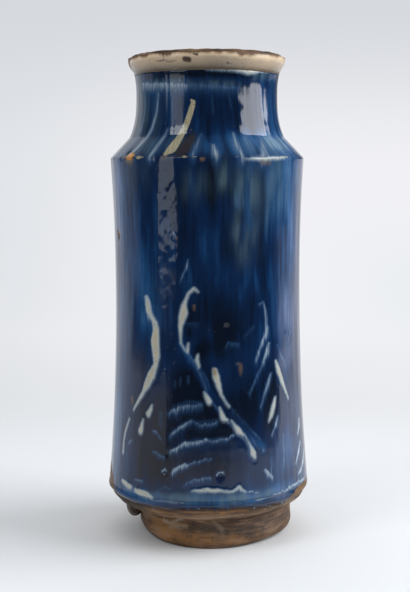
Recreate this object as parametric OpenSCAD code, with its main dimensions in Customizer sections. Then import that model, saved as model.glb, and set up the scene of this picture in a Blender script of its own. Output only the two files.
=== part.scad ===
// Albarello: a waisted drug jar of thrown clay sections, luted together with slip,
// coated with a pale slip and a blue glaze that stops short of the bare heel and foot.
// Millimetres, +Z up, origin on the table under the middle of the jar, front of the jar towards -Y.

/* [Foot] */
// How far the foot stands in from the edge of the dish's underside
foot_in = 3; // [2:0.1:9]
// Height of the foot
foot_h = 17; // [13:0.5:24]
// How far the foot draws in from its standing edge to its top
foot_draw = 1.4; // [0:0.1:3]
// How far the foot was set off the middle of the jar, towards +X
foot_shift = 4.4; // [0:0.1:5]
// Width of the standing ring round the hollow under the foot
foot_ring_w = 10; // [6:0.5:14]
// Depth of the hollow turned under the foot
foot_hollow = 8; // [5:0.5:9]
// Rounding of the foot's standing edge
foot_round = 4.5; // [0.5:0.1:6]
// Height of the worn scallop in the front right of the standing edge
chip_h = 4.4; // [1:0.1:6]
// Width of the scallop across the standing ring
chip_w = 7.5; // [3:0.1:9]
// Radius of the scallop's hollow
chip_hollow_r = 120; // [30:1:200]
// Bearing of the scallop, from the front towards +X
chip_bearing = 60; // [30:1:80]

/* [Base dish] */
// Height of the dish that carries the wall, from the foot to the widest part of the heel
dish_h = 14; // [11:0.5:20]
// Radius of the clay at the widest part of the heel
heel_r = 62.3; // [56:0.1:70]
// How far the heel draws in from its widest part to its underside
heel_in = 10.1; // [6:0.1:12]
// Roundness of the heel: 2 is a quarter ellipse, less is flatter
heel_round = 1.6; // [1.3:0.1:2.4]
// Thickness of the floor of the jar
floor_t = 6; // [5:0.5:9]
// Rounding between the floor and the wall inside
floor_round = 9; // [4:0.5:14]

/* [Wall] */
// Height of the waisted wall
wall_h = 206; // [160:0.5:240]
// Height of the waist above the heel
waist_up = 129; // [100:1:145]
// How far the wall draws in from the heel to the waist
waist_in = 5.5; // [2:0.1:8]
// Thickness of the wall
wall_t = 7; // [5:0.1:9]

/* [Shoulder] */
// How far the sharp edge of the shoulder stands in from the heel
shoulder_in = 3.3; // [0:0.1:5]
// Height of the sloping shoulder
shoulder_h = 12.5; // [9:0.5:20]

/* [Neck] */
// Height of the neck from the shoulder's crease to the underside of the lip
neck_h = 42; // [32:0.5:50]
// Least radius of the clay on the neck
neck_r = 42.6; // [38:0.1:48]
// How far the neck flares from its narrowest place down to the crease
neck_flare = 4.5; // [2:0.1:7]
// Thickness of the clay at the narrowest place of the neck
neck_t = 5.6; // [4:0.1:8]
// Height of the narrowest place on the neck, above the crease
pinch_up = 28.5; // [20:0.5:34]
// Height above the crease at which the bore starts to open into the body
bore_up = 4; // [2:0.5:10]
// Depth below the shoulder's edge at which the inside reaches the wall's full width
throat_drop = 6; // [3:0.5:12]

/* [Lip] */
// Height of the everted lip
lip_h = 8.5; // [7:0.5:12]
// How far the lip stands out from the narrowest place of the neck
lip_out = 4.9; // [3.5:0.1:7]
// How far the neck has opened again where the lip springs from it
lip_spring = 1.9; // [0.5:0.1:3]
// Height of the widest place of the lip above its underside
lip_bulge_up = 5.5; // [4:0.1:6]
// How far the top of the lip stands in from its outside
lip_crown_in = 2.6; // [2:0.1:4]
// Width of the rounding inside the lip
lip_inner_w = 4; // [2:0.1:5]
// Depth of the rounding inside the lip
lip_inner_drop = 4; // [2:0.1:6]

/* [Coats] */
// Thickness of the pale slip on the clay
slip_t = 0.5; // [0.2:0.1:0.8]
// Thickness of the blue glaze, and of the clear glaze on the lip
glaze_t = 0.9; // [0.4:0.1:1.4]
// Thickness of the glaze that lines the jar
lining_t = 0.6; // [0.3:0.1:1.2]
// Width of the bare ring worn along the top of the lip
worn_drop = 2; // [1:0.1:3]
// How far below the lip the pale band ends and the blue begins
band_drop = 3.8; // [0.5:0.1:6]
// How far below the widest part of the heel the glaze stops
hem_drop = 3; // [1:0.1:6]
// Height of the thick roll where the glaze stopped running
hem_h = 5.5; // [4:0.1:8]
// How far the roll swells past the coats
hem_swell = 0.9; // [0.4:0.1:1.4]

/* [Luting] */
// Thickness of the slip that joins two sections
lute_t = 0.6; // [0.3:0.1:1]
// Slope of the mitred joints, rising towards the inside
mitre = 25; // [0:1:35]
// Radius of the lump that ran down beside the foot
lump_r = 4.6; // [3:0.1:5]
// Bearing of that lump, from the front towards +X
lump_bearing = -84; // [-95:1:-70]

/* [Hidden] */
$fn = 96;

// Heights above the table at which one section ends and the next begins
dish_z = foot_h;
wall_z = dish_z + dish_h;
shoulder_z = wall_z + wall_h;
neck_z = shoulder_z + shoulder_h;
lip_z = neck_z + neck_h;
top_z = lip_z + lip_h;

// Heights of features that lie on a section
waist_z = wall_z + waist_up;
pinch_z = neck_z + pinch_up;
floor_z = dish_z + floor_t;
bore_z = neck_z + bore_up;
throat_z = shoulder_z - throat_drop;
hem_low_z = wall_z - hem_drop;
hem_z = hem_low_z + hem_h;
band_z = lip_z - band_drop;
worn_z = top_z - worn_drop;
lip_bulge_z = lip_z + lip_bulge_up;
lip_inner_z = top_z - lip_inner_drop;

// Radii of the clay, worked out from the heel upwards and downwards, and from the neck
dish_r = heel_r - heel_in;
foot_r = dish_r - foot_in;
waist_r = heel_r - waist_in;
shoulder_r = heel_r - shoulder_in;
neck_base_r = neck_r + neck_flare;
lip_r = neck_r + lip_out;
lip_base_r = neck_r + lip_spring;
lip_crown_r = lip_r - lip_crown_in;
lip_inner_r = lip_crown_r - lip_inner_w;

coats_t = slip_t + glaze_t;
foot_top_r = foot_r - foot_draw;
foot_top_z = foot_h - lute_t;
// A length past the edge of everything, for cutting shapes
reach = top_z + heel_r;

// Steps along the curved stretches of the outline
curve_steps = 12;
wall_steps = 28;

// The lump's drops: how many, how each shrinks from the last, their spacing and how low they hang
lump_count = 3;
lump_shrink = 0.78;
lump_step = 6;
lump_hang = 0.7;

// Joints between sections, as the [radius, height] at which each meets the outside of the clay
wall_joint = [heel_r, wall_z];
shoulder_joint = [shoulder_r, shoulder_z];
neck_joint = [neck_base_r, neck_z];
lip_joint = [lip_base_r, lip_z];
joints = [wall_joint, shoulder_joint, neck_joint, lip_joint];

function mix(a, b, t) = a + (b - a) * t;
function ease(t) = (1 - cos(180 * t)) / 2;
function turned(points) = [for (i = [len(points) - 1:-1:0]) points[i]];
function swollen(points, t) = [for (p = points) [p[0] + t, p[1]]];

// Radius of the clay's outside at a height on the dish, on the wall and on the neck
function dish_side_r(z) = let (t = (wall_z - z) / dish_h)
    mix(dish_r, heel_r, pow(1 - pow(t, heel_round), 1 / heel_round));
function wall_side_r(z) = z < waist_z
    ? waist_r + (heel_r - waist_r) * pow((waist_z - z) / waist_up, 2)
    : waist_r + (shoulder_r - waist_r) * pow((z - waist_z) / (shoulder_z - waist_z), 2);
function neck_side_r(z) = z < pinch_z
    ? neck_r + (neck_base_r - neck_r) * pow((pinch_z - z) / pinch_up, 3)
    : neck_r + (lip_base_r - neck_r) * pow((z - pinch_z) / (lip_z - pinch_z), 2);

function heel_side_r(z) = z < wall_z ? dish_side_r(z) : wall_side_r(z);

// Outside of the clay as [radius, height], from the bottom of each section to its top
function dish_outline() = [for (i = [0:curve_steps])
    let (a = 90 - 90 * i / curve_steps)
    [mix(dish_r, heel_r, pow(cos(a), 2 / heel_round)), wall_z - dish_h * pow(sin(a), 2 / heel_round)]];
function wall_outline() = [for (i = [1:wall_steps])
    let (z = mix(wall_z, shoulder_z, i / wall_steps))
    [wall_side_r(z), z]];
function neck_outline() = [for (i = [0:wall_steps])
    let (z = mix(neck_z, lip_z, i / wall_steps))
    [neck_side_r(z), z]];
function lip_outline() = concat(
    [for (i = [1:curve_steps])
        let (a = 90 * i / curve_steps)
        [mix(lip_base_r, lip_r, sin(a)), mix(lip_bulge_z, lip_z, cos(a))]],
    [for (i = [1:curve_steps])
        let (a = 90 * i / curve_steps)
        [mix(lip_crown_r, lip_r, cos(a)), mix(lip_bulge_z, top_z, sin(a))]]);
function outside() = concat(dish_outline(), wall_outline(), neck_outline(), lip_outline());

// The rounded inner edge of the lip, from its top down
function lip_inner_outline() = [for (i = [1:curve_steps])
    let (a = 90 * i / curve_steps)
    [mix(lip_crown_r, lip_inner_r, sin(a)), mix(lip_inner_z, top_z, cos(a))]];

// Inside of the jar under the lip's edge, down to the middle of the floor, with a coat t thick laid on it
function inside(t) =
    let (bore_r = neck_r - neck_t - t,
         wall_in = wall_t + t,
         round_r = floor_round - t,
         round_z = floor_z + floor_round)
    concat(
        [[lip_inner_r - t, lip_inner_z], [bore_r, lip_z]],
        [for (i = [0:curve_steps])
            let (s = i / curve_steps)
            [mix(bore_r, wall_side_r(throat_z) - wall_in, ease(s)), mix(bore_z, throat_z, s)]],
        [for (i = [1:wall_steps])
            let (z = mix(throat_z, round_z, i / wall_steps))
            [wall_side_r(z) - wall_in, z]],
        [for (i = [1:curve_steps])
            let (a = 90 * i / curve_steps)
            [wall_side_r(round_z) - wall_in - round_r * (1 - cos(a)), round_z - round_r * sin(a)]],
        [[0, floor_z + t]]);

// Cross-section of the clay above the foot
module clay() {
    polygon(concat(outside(), lip_inner_outline(), inside(0), [[0, dish_z]]));
}

// Mitred line at a joint, rising inwards so that each section caps the one below, moved up by a lift
function joint_line(joint, lift) = [for (r = [0, reach]) [r, joint[1] + lift + (joint[0] - r) * tan(mitre)]];

module above(joint) {
    polygon(concat(joint_line(joint, lute_t / 2), [[reach, 2 * reach], [0, 2 * reach]]));
}

module below(joint) {
    polygon(concat(joint_line(joint, -lute_t / 2), [[reach, -reach], [0, -reach]]));
}

// Outside of the foot, from its standing edge up to the luting slip
function foot_outline() = concat(
    [for (i = [0:curve_steps])
        let (a = 90 * i / curve_steps)
        [foot_r - foot_round * (1 - sin(a)), foot_round * (1 - cos(a))]],
    [[foot_top_r, foot_top_z]]);

// Thrown foot: a thick disc, turned hollow underneath, worn away at the front right
module foot() {
    ring_r = foot_r - foot_ring_w;
    chip_len = norm([chip_w, chip_h]);
    chip_back = sqrt(pow(chip_hollow_r, 2) - pow(chip_len / 2, 2)) / chip_len;
    color("saddlebrown") translate([foot_shift, 0, 0]) difference() {
        rotate_extrude() polygon(concat(
            [[ring_r, 0]],
            foot_outline(),
            [[0, foot_top_z], [0, foot_hollow], [ring_r, foot_hollow]]));
        rotate(chip_bearing - 90)
            translate([foot_r - chip_w / 2 + chip_h * chip_back, 0, chip_h / 2 - chip_w * chip_back])
            sphere(r = chip_hollow_r);
    }
}

// Thrown dish: the floor of the jar and its rounded heel
module base_dish() {
    color("sienna") rotate_extrude() intersection() {
        clay();
        below(wall_joint);
    }
}

// Thrown drum, waisted for the hand
module body_wall() {
    color("peru") rotate_extrude() intersection() {
        clay();
        above(wall_joint);
        below(shoulder_joint);
    }
}

// Sloping ring from the sharp shoulder to the crease of the neck
module shoulder() {
    color("peru") rotate_extrude() intersection() {
        clay();
        above(shoulder_joint);
        below(neck_joint);
    }
}

// Collar with a straight bore and a pinched outside, where a cover is tied
module neck() {
    color("peru") rotate_extrude() intersection() {
        clay();
        above(neck_joint);
        below(lip_joint);
    }
}

// Everted, rounded lip
module lip() {
    color("saddlebrown") rotate_extrude() intersection() {
        clay();
        above(lip_joint);
    }
}

// Slip in the joints: a disc on the foot and a mitred ring under each section
module luting_slip() {
    color("tan") {
        translate([foot_shift, 0, foot_top_z]) cylinder(h = lute_t, r = foot_top_r);
        for (joint = joints) rotate_extrude() difference() {
            clay();
            above(joint);
            below(joint);
        }
    }
}

// A coat on the outside of the clay between two depths of coat and two heights
module coat(inner_t, outer_t, low, high) {
    rotate_extrude() intersection() {
        polygon(concat(swollen(outside(), outer_t), turned(swollen(outside(), inner_t))));
        translate([0, low]) square([reach, high - low]);
    }
}

module slip_coat() {
    color("wheat") coat(0, slip_t, hem_z, worn_z);
}

module blue_glaze() {
    color("midnightblue") coat(slip_t, coats_t, hem_z, band_z);
}

module rim_glaze() {
    color("antiquewhite") coat(slip_t, coats_t, band_z, worn_z);
}

// Glaze inside the jar, from the lip's edge to the floor
module lining_glaze() {
    color("cornsilk") rotate_extrude() polygon(concat(inside(lining_t), turned(inside(0))));
}

// Filled cross-section of the heel, from under the dish to the foot of the wall
module heel_section() {
    intersection() {
        polygon(concat(outside(), [[0, top_z], [0, dish_z]]));
        square([reach, wall_z + hem_h]);
    }
}

// Thick roll where the glaze stopped running
module glaze_hem() {
    color("steelblue") rotate_extrude() difference() {
        polygon(concat(
            [for (i = [0:curve_steps])
                let (u = i / curve_steps, z = hem_low_z + hem_h * u)
                [heel_side_r(z) + coats_t * u + hem_swell * sin(180 * u), z]],
            [[dish_r, hem_z], [dish_r, hem_low_z]]));
        heel_section();
    }
}

// Lump of glaze and slip that ran down into the angle beside the foot, as a row of drops
module foot_lump() {
    color("darkslategray") difference() {
        for (i = [0:lump_count - 1]) {
            r = lump_r * pow(lump_shrink, i);
            rotate(lump_bearing - 90 + lump_step * i)
                translate([dish_r - r, 0, dish_z - lump_hang * r]) sphere(r = r);
        }
        rotate_extrude() heel_section();
        translate([foot_shift, 0, 0]) rotate_extrude()
            polygon(concat([[0, 0]], foot_outline(), [[foot_top_r, foot_h], [0, foot_h]]));
    }
}

foot();
base_dish();
body_wall();
shoulder();
neck();
lip();
luting_slip();
slip_coat();
blue_glaze();
glaze_hem();
rim_glaze();
lining_glaze();
foot_lump();
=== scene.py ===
# %% [markdown]
# # A blue-glazed drug jar
#
# An albarello is a tall drug jar with a slight waist, so that a hand can lift it from between its
# neighbours on a shelf. This one was thrown on the wheel from brown clay, coated in pale slip, brushed
# with big leaves, and covered in a cobalt glaze that ran in the kiln. The CAD model holds its sections
# and coats. This lesson dresses that model in Blender, one piece and one finish at a time.

# %% Load the frame
import math

import bmesh
import bpy
import numpy as np
from mathutils import Matrix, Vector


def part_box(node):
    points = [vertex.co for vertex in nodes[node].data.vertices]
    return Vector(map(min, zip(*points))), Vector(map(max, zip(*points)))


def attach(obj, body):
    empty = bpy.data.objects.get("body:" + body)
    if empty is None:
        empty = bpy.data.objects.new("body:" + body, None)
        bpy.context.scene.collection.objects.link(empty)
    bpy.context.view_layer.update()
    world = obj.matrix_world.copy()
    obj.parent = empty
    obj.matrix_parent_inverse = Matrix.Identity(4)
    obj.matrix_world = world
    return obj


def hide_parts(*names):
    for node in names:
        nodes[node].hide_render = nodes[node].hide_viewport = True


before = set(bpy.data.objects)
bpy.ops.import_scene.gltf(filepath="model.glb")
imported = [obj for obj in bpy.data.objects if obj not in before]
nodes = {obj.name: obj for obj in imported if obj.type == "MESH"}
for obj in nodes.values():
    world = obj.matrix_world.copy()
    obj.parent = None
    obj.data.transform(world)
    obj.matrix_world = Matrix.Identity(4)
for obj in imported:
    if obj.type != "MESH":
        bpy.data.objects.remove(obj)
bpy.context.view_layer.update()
scene = bpy.context.scene
scene.view_settings.view_transform = "Standard"
mm = 0.001
print("CAD nodes:", ", ".join(sorted(nodes)))

# %% [markdown]
# ## The camera
#
# The camera comes first, because the brushwork below is placed by pixels of the photograph. The jar's
# ellipses give the height of the eye: the ring that looks straight is level with it. Their flattening
# gives the distance, and the distance gives the lens.

# %% Camera
PICTURE_W = 410
PICTURE_H = 592
SENSOR = 36.0
focal_px = 1142.8
eye = np.array([-1.7, -723.6, 225.7]) * mm
pitch_down = math.radians(5.98)
roll_right = math.radians(0.25)

camera_data = bpy.data.cameras.new("camera")
camera_data.sensor_fit = "VERTICAL"
camera_data.sensor_height = SENSOR
camera_data.lens = focal_px / PICTURE_H * SENSOR
camera = bpy.data.objects.new("camera", camera_data)
camera.location = eye
tilt = Matrix.Rotation(math.pi / 2 - pitch_down, 3, "X") @ Matrix.Rotation(-roll_right, 3, "Z")
camera.rotation_euler = tilt.to_euler()
scene.collection.objects.link(camera)
scene.camera = camera
print("lens in mm:", round(camera_data.lens, 1))

# %% [markdown]
# ## The outlines
#
# A thrown pot is a line turned round an axis. The line is read from the CAD nodes themselves, ring by
# ring, so the dressed jar can't drift from the solids. A smooth curve through the rings takes away the
# short flats between them, and the corners at the shoulder and at the root of the neck stay sharp.


# %% Read the turned outlines
def places_of(mesh):
    """The places of a mesh's vertices, one row each."""
    spots = np.empty(len(mesh.vertices) * 3)
    mesh.vertices.foreach_get("co", spots)
    return spots.reshape(-1, 3)


def rings(node, pick, low=0.0, high=1.0, centre_x=0.0):
    """One (radius, height) for each level of a turned node, where the radius is from low to high."""
    spots = places_of(nodes[node].data)
    radius = np.hypot(spots[:, 0] - centre_x, spots[:, 1])
    level = np.round(spots[:, 2], 5)
    kept = (radius >= low) & (radius <= high)
    return np.array([(pick(radius[kept & (level == at)]), at) for at in np.unique(level[kept])])


def smooth_curve(points):
    """The radius at any height, on a smooth line through (radius, height) points."""
    radius = points[:, 0]
    level = points[:, 1]
    slope = np.gradient(radius, level)

    def at(height):
        """The radius at a height."""
        height = np.clip(height, level[0], level[-1])
        i = np.clip(np.searchsorted(level, height) - 1, 0, len(level) - 2)
        step = level[i + 1] - level[i]
        t = (height - level[i]) / step
        start = (1 + 2 * t) * (1 - t) ** 2 * radius[i] + t * (1 - t) ** 2 * step * slope[i]
        end = t ** 2 * (3 - 2 * t) * radius[i + 1] + t ** 2 * (t - 1) * step * slope[i + 1]
        return start + end

    return at


coat = rings("blue_glaze", np.max)
coat_back = rings("blue_glaze", np.min)
band = rings("rim_glaze", np.max)
dish_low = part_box("base_dish")[0].z
dish_r = rings("base_dish", np.max)[0, 0]
dish_side = rings("base_dish", np.max, low=dish_r - mm)
dish_side = dish_side[dish_side[:, 0] >= np.maximum.accumulate(dish_side[:, 0])]
heel_r = smooth_curve(dish_side)
hem = rings("glaze_hem", np.max)
HEM_BITE = 0.2 * mm
hem = hem[(hem[:, 0] > heel_r(hem[:, 1]) + HEM_BITE) | (hem[:, 1] == hem[0, 1])]
shoulder_z = coat[np.argmin(np.abs(coat[:, 1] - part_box("shoulder")[0].z)), 1]
neck_z = coat[np.argmin(np.abs(coat[:, 1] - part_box("neck")[0].z)), 1]
coat_low = coat[0, 1]
coat_high = coat[-1, 1]
body_r = smooth_curve(coat[coat[:, 1] <= shoulder_z])
neck_r = smooth_curve(coat[coat[:, 1] >= neck_z])
coat_t = (coat[:, 0] - coat_back[:, 0]).max()
foot_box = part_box("foot")
foot_x = (foot_box[0].x + foot_box[1].x) / 2
foot_side = rings("foot", np.max, centre_x=foot_x)
foot_out_r = foot_side[:, 0].max()
foot_up_r, foot_top = foot_side[-1]


def jar_radius(height):
    """The jar's outer radius at a height."""
    foot_line = np.array([[foot_out_r, 0.0], [foot_up_r, foot_top]])
    below = dish_side[dish_side[:, 1] < hem[0, 1]]
    outline = np.concatenate([foot_line, below, hem[:-1], coat, band[1:]])
    return np.interp(height, outline[:, 1], outline[:, 0])


print("shoulder and neck start at", round(shoulder_z / mm, 1), "and", round(neck_z / mm, 1), "mm")

# %% [markdown]
# ## From the photograph to the clay
#
# A pixel is a ray from the eye. Where the ray first meets the turned outline, it gives a bearing round
# the jar and a height, and a brush mark placed there stays on the glaze from every side. Bearing 0
# faces the eye, and it grows to the right.


# %% Follow a pixel to the jar
NEAR_DEPTH = 0.60
FAR_DEPTH = 0.80
DEPTH_STEPS = 1000


def ray_of(pixels):
    """The direction of each pixel's ray, one unit deep."""
    x = (pixels[:, 0] - PICTURE_W / 2) / focal_px
    y = (pixels[:, 1] - PICTURE_H / 2) / focal_px
    across = x * math.cos(roll_right) - y * math.sin(roll_right)
    rise = -y * math.cos(roll_right) - x * math.sin(roll_right)
    forward = np.array([0, math.cos(pitch_down), -math.sin(pitch_down)])
    upward = np.array([0, math.sin(pitch_down), math.cos(pitch_down)])
    return across[:, None] * np.array([1.0, 0, 0]) + rise[:, None] * upward + forward


def onto_jar(pixels):
    """The bearing and height where each pixel's ray meets the jar."""
    depths = np.linspace(NEAR_DEPTH, FAR_DEPTH, DEPTH_STEPS)
    spots = eye + ray_of(pixels)[:, None, :] * depths[None, :, None]
    gap = np.hypot(spots[..., 0], spots[..., 1]) - jar_radius(spots[..., 2])
    inside = gap < 0
    first = np.where(inside.any(1), inside.argmax(1), gap.argmin(1))
    found = spots[np.arange(len(spots)), first]
    return np.arctan2(found[:, 0], -found[:, 1]), found[:, 2]


middle = onto_jar(np.array([[208.0, 300.0]]))
print("the middle pixel meets the jar at", round(float(middle[1][0]) / mm, 1), "mm")

# %% [markdown]
# ## Nodes in a few words
#
# Shader and geometry trees are long to write out, so these helpers add one node in one line. A number
# goes straight into a socket, and an output is linked to it.


# %% Node helpers
def add(tree, kind, feeds=None, **settings):
    """One node, with its settings and with what feeds its inputs."""
    made = tree.nodes.new(kind)
    for key, setting in settings.items():
        setattr(made, key, setting)
    for key, feed in (feeds or {}).items():
        if isinstance(feed, bpy.types.NodeSocket):
            tree.links.new(feed, made.inputs[key])
        else:
            made.inputs[key].default_value = feed
    return made


def sums(tree, operation, first, second=0.0, clamp=False):
    """The result of one Math node."""
    feeds = {0: first, 1: second}
    return add(tree, "ShaderNodeMath", feeds, operation=operation, use_clamp=clamp).outputs[0]


def times(tree, first, second, clamp=False):
    """One number times another."""
    return sums(tree, "MULTIPLY", first, second, clamp)


def plus(tree, first, second):
    """Two numbers added up."""
    return sums(tree, "ADD", first, second)


def vectors(tree, operation, first, second):
    """The result of one Vector Math node."""
    return add(tree, "ShaderNodeVectorMath", {0: first, 1: second}, operation=operation).outputs[0]


def lay(tree, mask, under, over):
    """One colour laid over another through a mask."""
    return add(tree, "ShaderNodeMix", {0: mask, 6: under, 7: over}, data_type="RGBA").outputs[2]


def fade(tree, source, start, end, low=1.0, high=0.0):
    """A smooth step from low to high while the source goes from start to end."""
    feeds = {0: source, 1: start, 2: end, 3: low, 4: high}
    return add(tree, "ShaderNodeMapRange", feeds, interpolation_type="SMOOTHSTEP").outputs[0]


def cloud(tree, vector, scale, detail=2.0, rough=0.5):
    """Noise from 0 to 1, mostly near the middle."""
    feeds = {"Vector": vector, "Scale": scale, "Detail": detail, "Roughness": rough}
    return add(tree, "ShaderNodeTexNoise", feeds).outputs[0]


def sway(tree, total, source, share):
    """A total, moved up and down by a noise that lies around 0.5."""
    return plus(tree, total, times(tree, sums(tree, "SUBTRACT", source, 0.5), share))


def ramp(tree, factor, stops):
    """A colour ramp from (place, colour) stops."""
    made = add(tree, "ShaderNodeValToRGB", {0: factor})
    bar = made.color_ramp.elements
    bar.remove(bar[1])
    bar[0].position = stops[0][0]
    bar[0].color = stops[0][1]
    for place, colour in stops[1:]:
        bar.new(place).color = colour
    return made.outputs[0]


def shade(red, green, blue):
    """A colour as it looks on screen, from 0 to 255, turned into light."""
    parts = np.array([red, green, blue]) / 255
    light = np.where(parts <= 0.04045, parts / 12.92, ((parts + 0.055) / 1.055) ** 2.4)
    return (*(float(part) for part in light), 1.0)


def painted(tree, name):
    """A number painted on the vertices."""
    return add(tree, "ShaderNodeAttribute", attribute_name=name).outputs["Fac"]


print("node helpers ready")

# %% [markdown]
# ## The wheel
#
# Every section of this jar was thrown, so one Geometry Nodes tree plays the wheel for all of them. It
# takes a profile line, lays a grid with one row for each point of the line, and turns every row round
# the axis. A little noise moves the wall in and out, as hands do. A spin in a mesh editor would give the
# same rings, but not the wobble, and not one set of inputs for all the pieces.


# %% The wheel as a node tree
def geometry_tree(name, inputs, output):
    """A geometry tree with named inputs and one output, and what the inputs give."""
    tree = bpy.data.node_groups.new(name, "GeometryNodeTree")
    for label, kind in inputs:
        tree.interface.new_socket(label, in_out="INPUT", socket_type=kind)
    tree.interface.new_socket(output, in_out="OUTPUT", socket_type="NodeSocketGeometry")
    return tree, add(tree, "NodeGroupInput").outputs


def passed(tree, shape, kind, **feeds):
    """A shape passed through one geometry node."""
    return add(tree, kind, {"Geometry": shape, **feeds}).outputs[0]


SEAM = 0.002 * mm


def wheel_tree():
    """Turns a profile line into a vessel, with the wobble of hands."""
    inputs = (
        ("Profile", "NodeSocketGeometry"),
        ("Turns", "NodeSocketInt"),
        ("Centre", "NodeSocketVector"),
        ("Wobble", "NodeSocketFloat"),
        ("Wobble size", "NodeSocketFloat"),
        ("Peel", "NodeSocketFloat"),
        ("Peel size", "NodeSocketFloat"),
        ("Seed", "NodeSocketFloat"),
        ("Finish", "NodeSocketMaterial"),
    )
    tree, given = geometry_tree("throw on the wheel", inputs, "Vessel")
    size = add(tree, "GeometryNodeAttributeDomainSize", {0: given["Profile"]})
    count = size.outputs["Point Count"]
    columns = plus(tree, given["Turns"], 1.0)
    grid = add(tree, "GeometryNodeMeshGrid", {"Vertices X": columns, "Vertices Y": count})
    index = add(tree, "GeometryNodeInputIndex").outputs[0]
    row = sums(tree, "MODULO", index, count)
    column = sums(tree, "FLOOR", sums(tree, "DIVIDE", index, count))
    place = add(tree, "GeometryNodeInputPosition").outputs[0]
    feeds = {"Geometry": given["Profile"], "Value": place, "Index": row}
    point = add(tree, "GeometryNodeSampleIndex", feeds, data_type="FLOAT_VECTOR").outputs[0]
    turn = sums(tree, "DIVIDE", times(tree, column, 2 * math.pi), given["Turns"])
    feeds = {"Vector": point, "Angle": turn}
    ring = add(tree, "ShaderNodeVectorRotate", feeds, rotation_type="Z_AXIS").outputs[0]
    outward = vectors(tree, "NORMALIZE", vectors(tree, "MULTIPLY", ring, (1, 1, 0)), (0, 0, 0))
    push = 0.0
    for depth, width, detail in (("Wobble", "Wobble size", 1.0), ("Peel", "Peel size", 2.0)):
        scale = sums(tree, "DIVIDE", 1.0, given[width])
        feeds = {"Vector": ring, "W": given["Seed"], "Scale": scale, "Detail": detail}
        hands = add(tree, "ShaderNodeTexNoise", feeds, noise_dimensions="4D").outputs[0]
        push = sway(tree, push, hands, given[depth])
    moved = add(tree, "ShaderNodeVectorMath", {0: outward, "Scale": push}, operation="SCALE").outputs[0]
    moved = vectors(tree, "ADD", vectors(tree, "ADD", ring, moved), given["Centre"])
    feeds = {"Geometry": grid.outputs["Mesh"], "Name": "row", "Value": row}
    kept = add(tree, "GeometryNodeStoreNamedAttribute", feeds).outputs[0]
    kept = passed(tree, kept, "GeometryNodeSetPosition", Position=moved)
    kept = passed(tree, kept, "GeometryNodeMergeByDistance", Distance=SEAM)
    kept = passed(tree, kept, "GeometryNodeSetShadeSmooth")
    kept = passed(tree, kept, "GeometryNodeRealizeInstances")
    kept = passed(tree, kept, "GeometryNodeSetMaterial", Material=given["Finish"])
    add(tree, "NodeGroupOutput", {"Vessel": kept})
    return tree


wheel = wheel_tree()
print("wheel inputs:", [item.name for item in wheel.interface.items_tree if item.in_out == "INPUT"])


# %% Use a tree on a mesh
def grown(name, mesh, tree, inputs):
    """The plain mesh that a tree makes from a mesh, as an object of its own."""
    maker = bpy.data.objects.new(name + "_maker", mesh)
    scene.collection.objects.link(maker)
    modifier = maker.modifiers.new("nodes", "NODES")
    modifier.node_group = tree
    for item in tree.interface.items_tree:
        if item.in_out == "INPUT" and item.name in inputs:
            modifier[item.identifier] = inputs[item.name]
    graph = bpy.context.evaluated_depsgraph_get()
    made = bpy.data.meshes.new_from_object(maker.evaluated_get(graph))
    bpy.data.objects.remove(maker)
    made.name = name
    piece = bpy.data.objects.new(name, made)
    scene.collection.objects.link(piece)
    return piece


def turn_faces_out(mesh):
    """Outward normals on a closed mesh."""
    work = bmesh.new()
    work.from_mesh(mesh)
    bmesh.ops.recalc_face_normals(work, faces=work.faces)
    work.to_mesh(mesh)
    work.free()
    mesh.update()


PEEL_SIZE = 5 * mm


def throw(
    name, profile, turns, finish, centre=(0.0, 0.0, 0.0), wobble=0.0, size=0.06, seed=1.0, peel=0.0
):
    """A turned piece from its profile, a list of (radius, height)."""
    line = bpy.data.meshes.new(name + "_profile")
    spots = [(float(radius), 0.0, float(height)) for radius, height in profile]
    line.from_pydata(spots, [(i, i + 1) for i in range(len(spots) - 1)], [])
    inputs = {
        "Turns": turns,
        "Centre": centre,
        "Wobble": wobble,
        "Wobble size": size,
        "Peel": peel,
        "Peel size": PEEL_SIZE,
        "Seed": seed,
        "Finish": finish,
    }
    piece = grown(name, line, wheel, inputs)
    turn_faces_out(piece.data)
    triangles = sum(len(face.vertices) - 2 for face in piece.data.polygons)
    print(name, "has", triangles, "triangles")
    return piece


def seat(piece, slot, *stands_for):
    """A piece rides on the one body and stands for its CAD nodes; the slot is not used."""
    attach(piece, "root")
    if stands_for:
        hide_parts(*stands_for)


# %% [markdown]
# ## Marks on the turned surface
#
# The relief and the brushwork are numbers on the vertices: how far a vertex is from the nearest brush
# mark, how dark the glaze pools there. NumPy works them out for a whole piece at once. The noise here
# is a lattice wrapped round the jar, so that it has no seam at the back.


# %% Numbers on the vertices
def read_surface(piece):
    """The vertices' places, bearings, heights, normals and profile rows."""
    mesh = piece.data
    spots = places_of(mesh)
    normals = np.empty(len(mesh.vertices) * 3)
    mesh.vertices.foreach_get("normal", normals)
    row = np.empty(len(mesh.vertices))
    mesh.attributes["row"].data.foreach_get("value", row)
    bearing = np.arctan2(spots[:, 0], -spots[:, 1])
    return spots, bearing, spots[:, 2].copy(), normals.reshape(-1, 3), row


def write_places(piece, spots):
    """Move the vertices to new places."""
    piece.data.vertices.foreach_set("co", spots.ravel())
    piece.data.update()


def paint(piece, name, numbers):
    """A number for each vertex, which a material reads by name."""
    layer = piece.data.attributes.new(name, "FLOAT", "POINT")
    layer.data.foreach_set("value", np.asarray(numbers, dtype=np.float32))


def paint_flow(piece, bearing, height):
    """Places on a straight cylinder, in centimetres, so that streaks run down the wall."""
    flow_r = 6.0
    layer = piece.data.attributes.new("flow", "FLOAT_VECTOR", "POINT")
    places = np.stack([flow_r * np.sin(bearing), -flow_r * np.cos(bearing), height / (10 * mm)], 1)
    layer.data.foreach_set("vector", places.astype(np.float32).ravel())


LATTICE_TALL = 0.33


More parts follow.
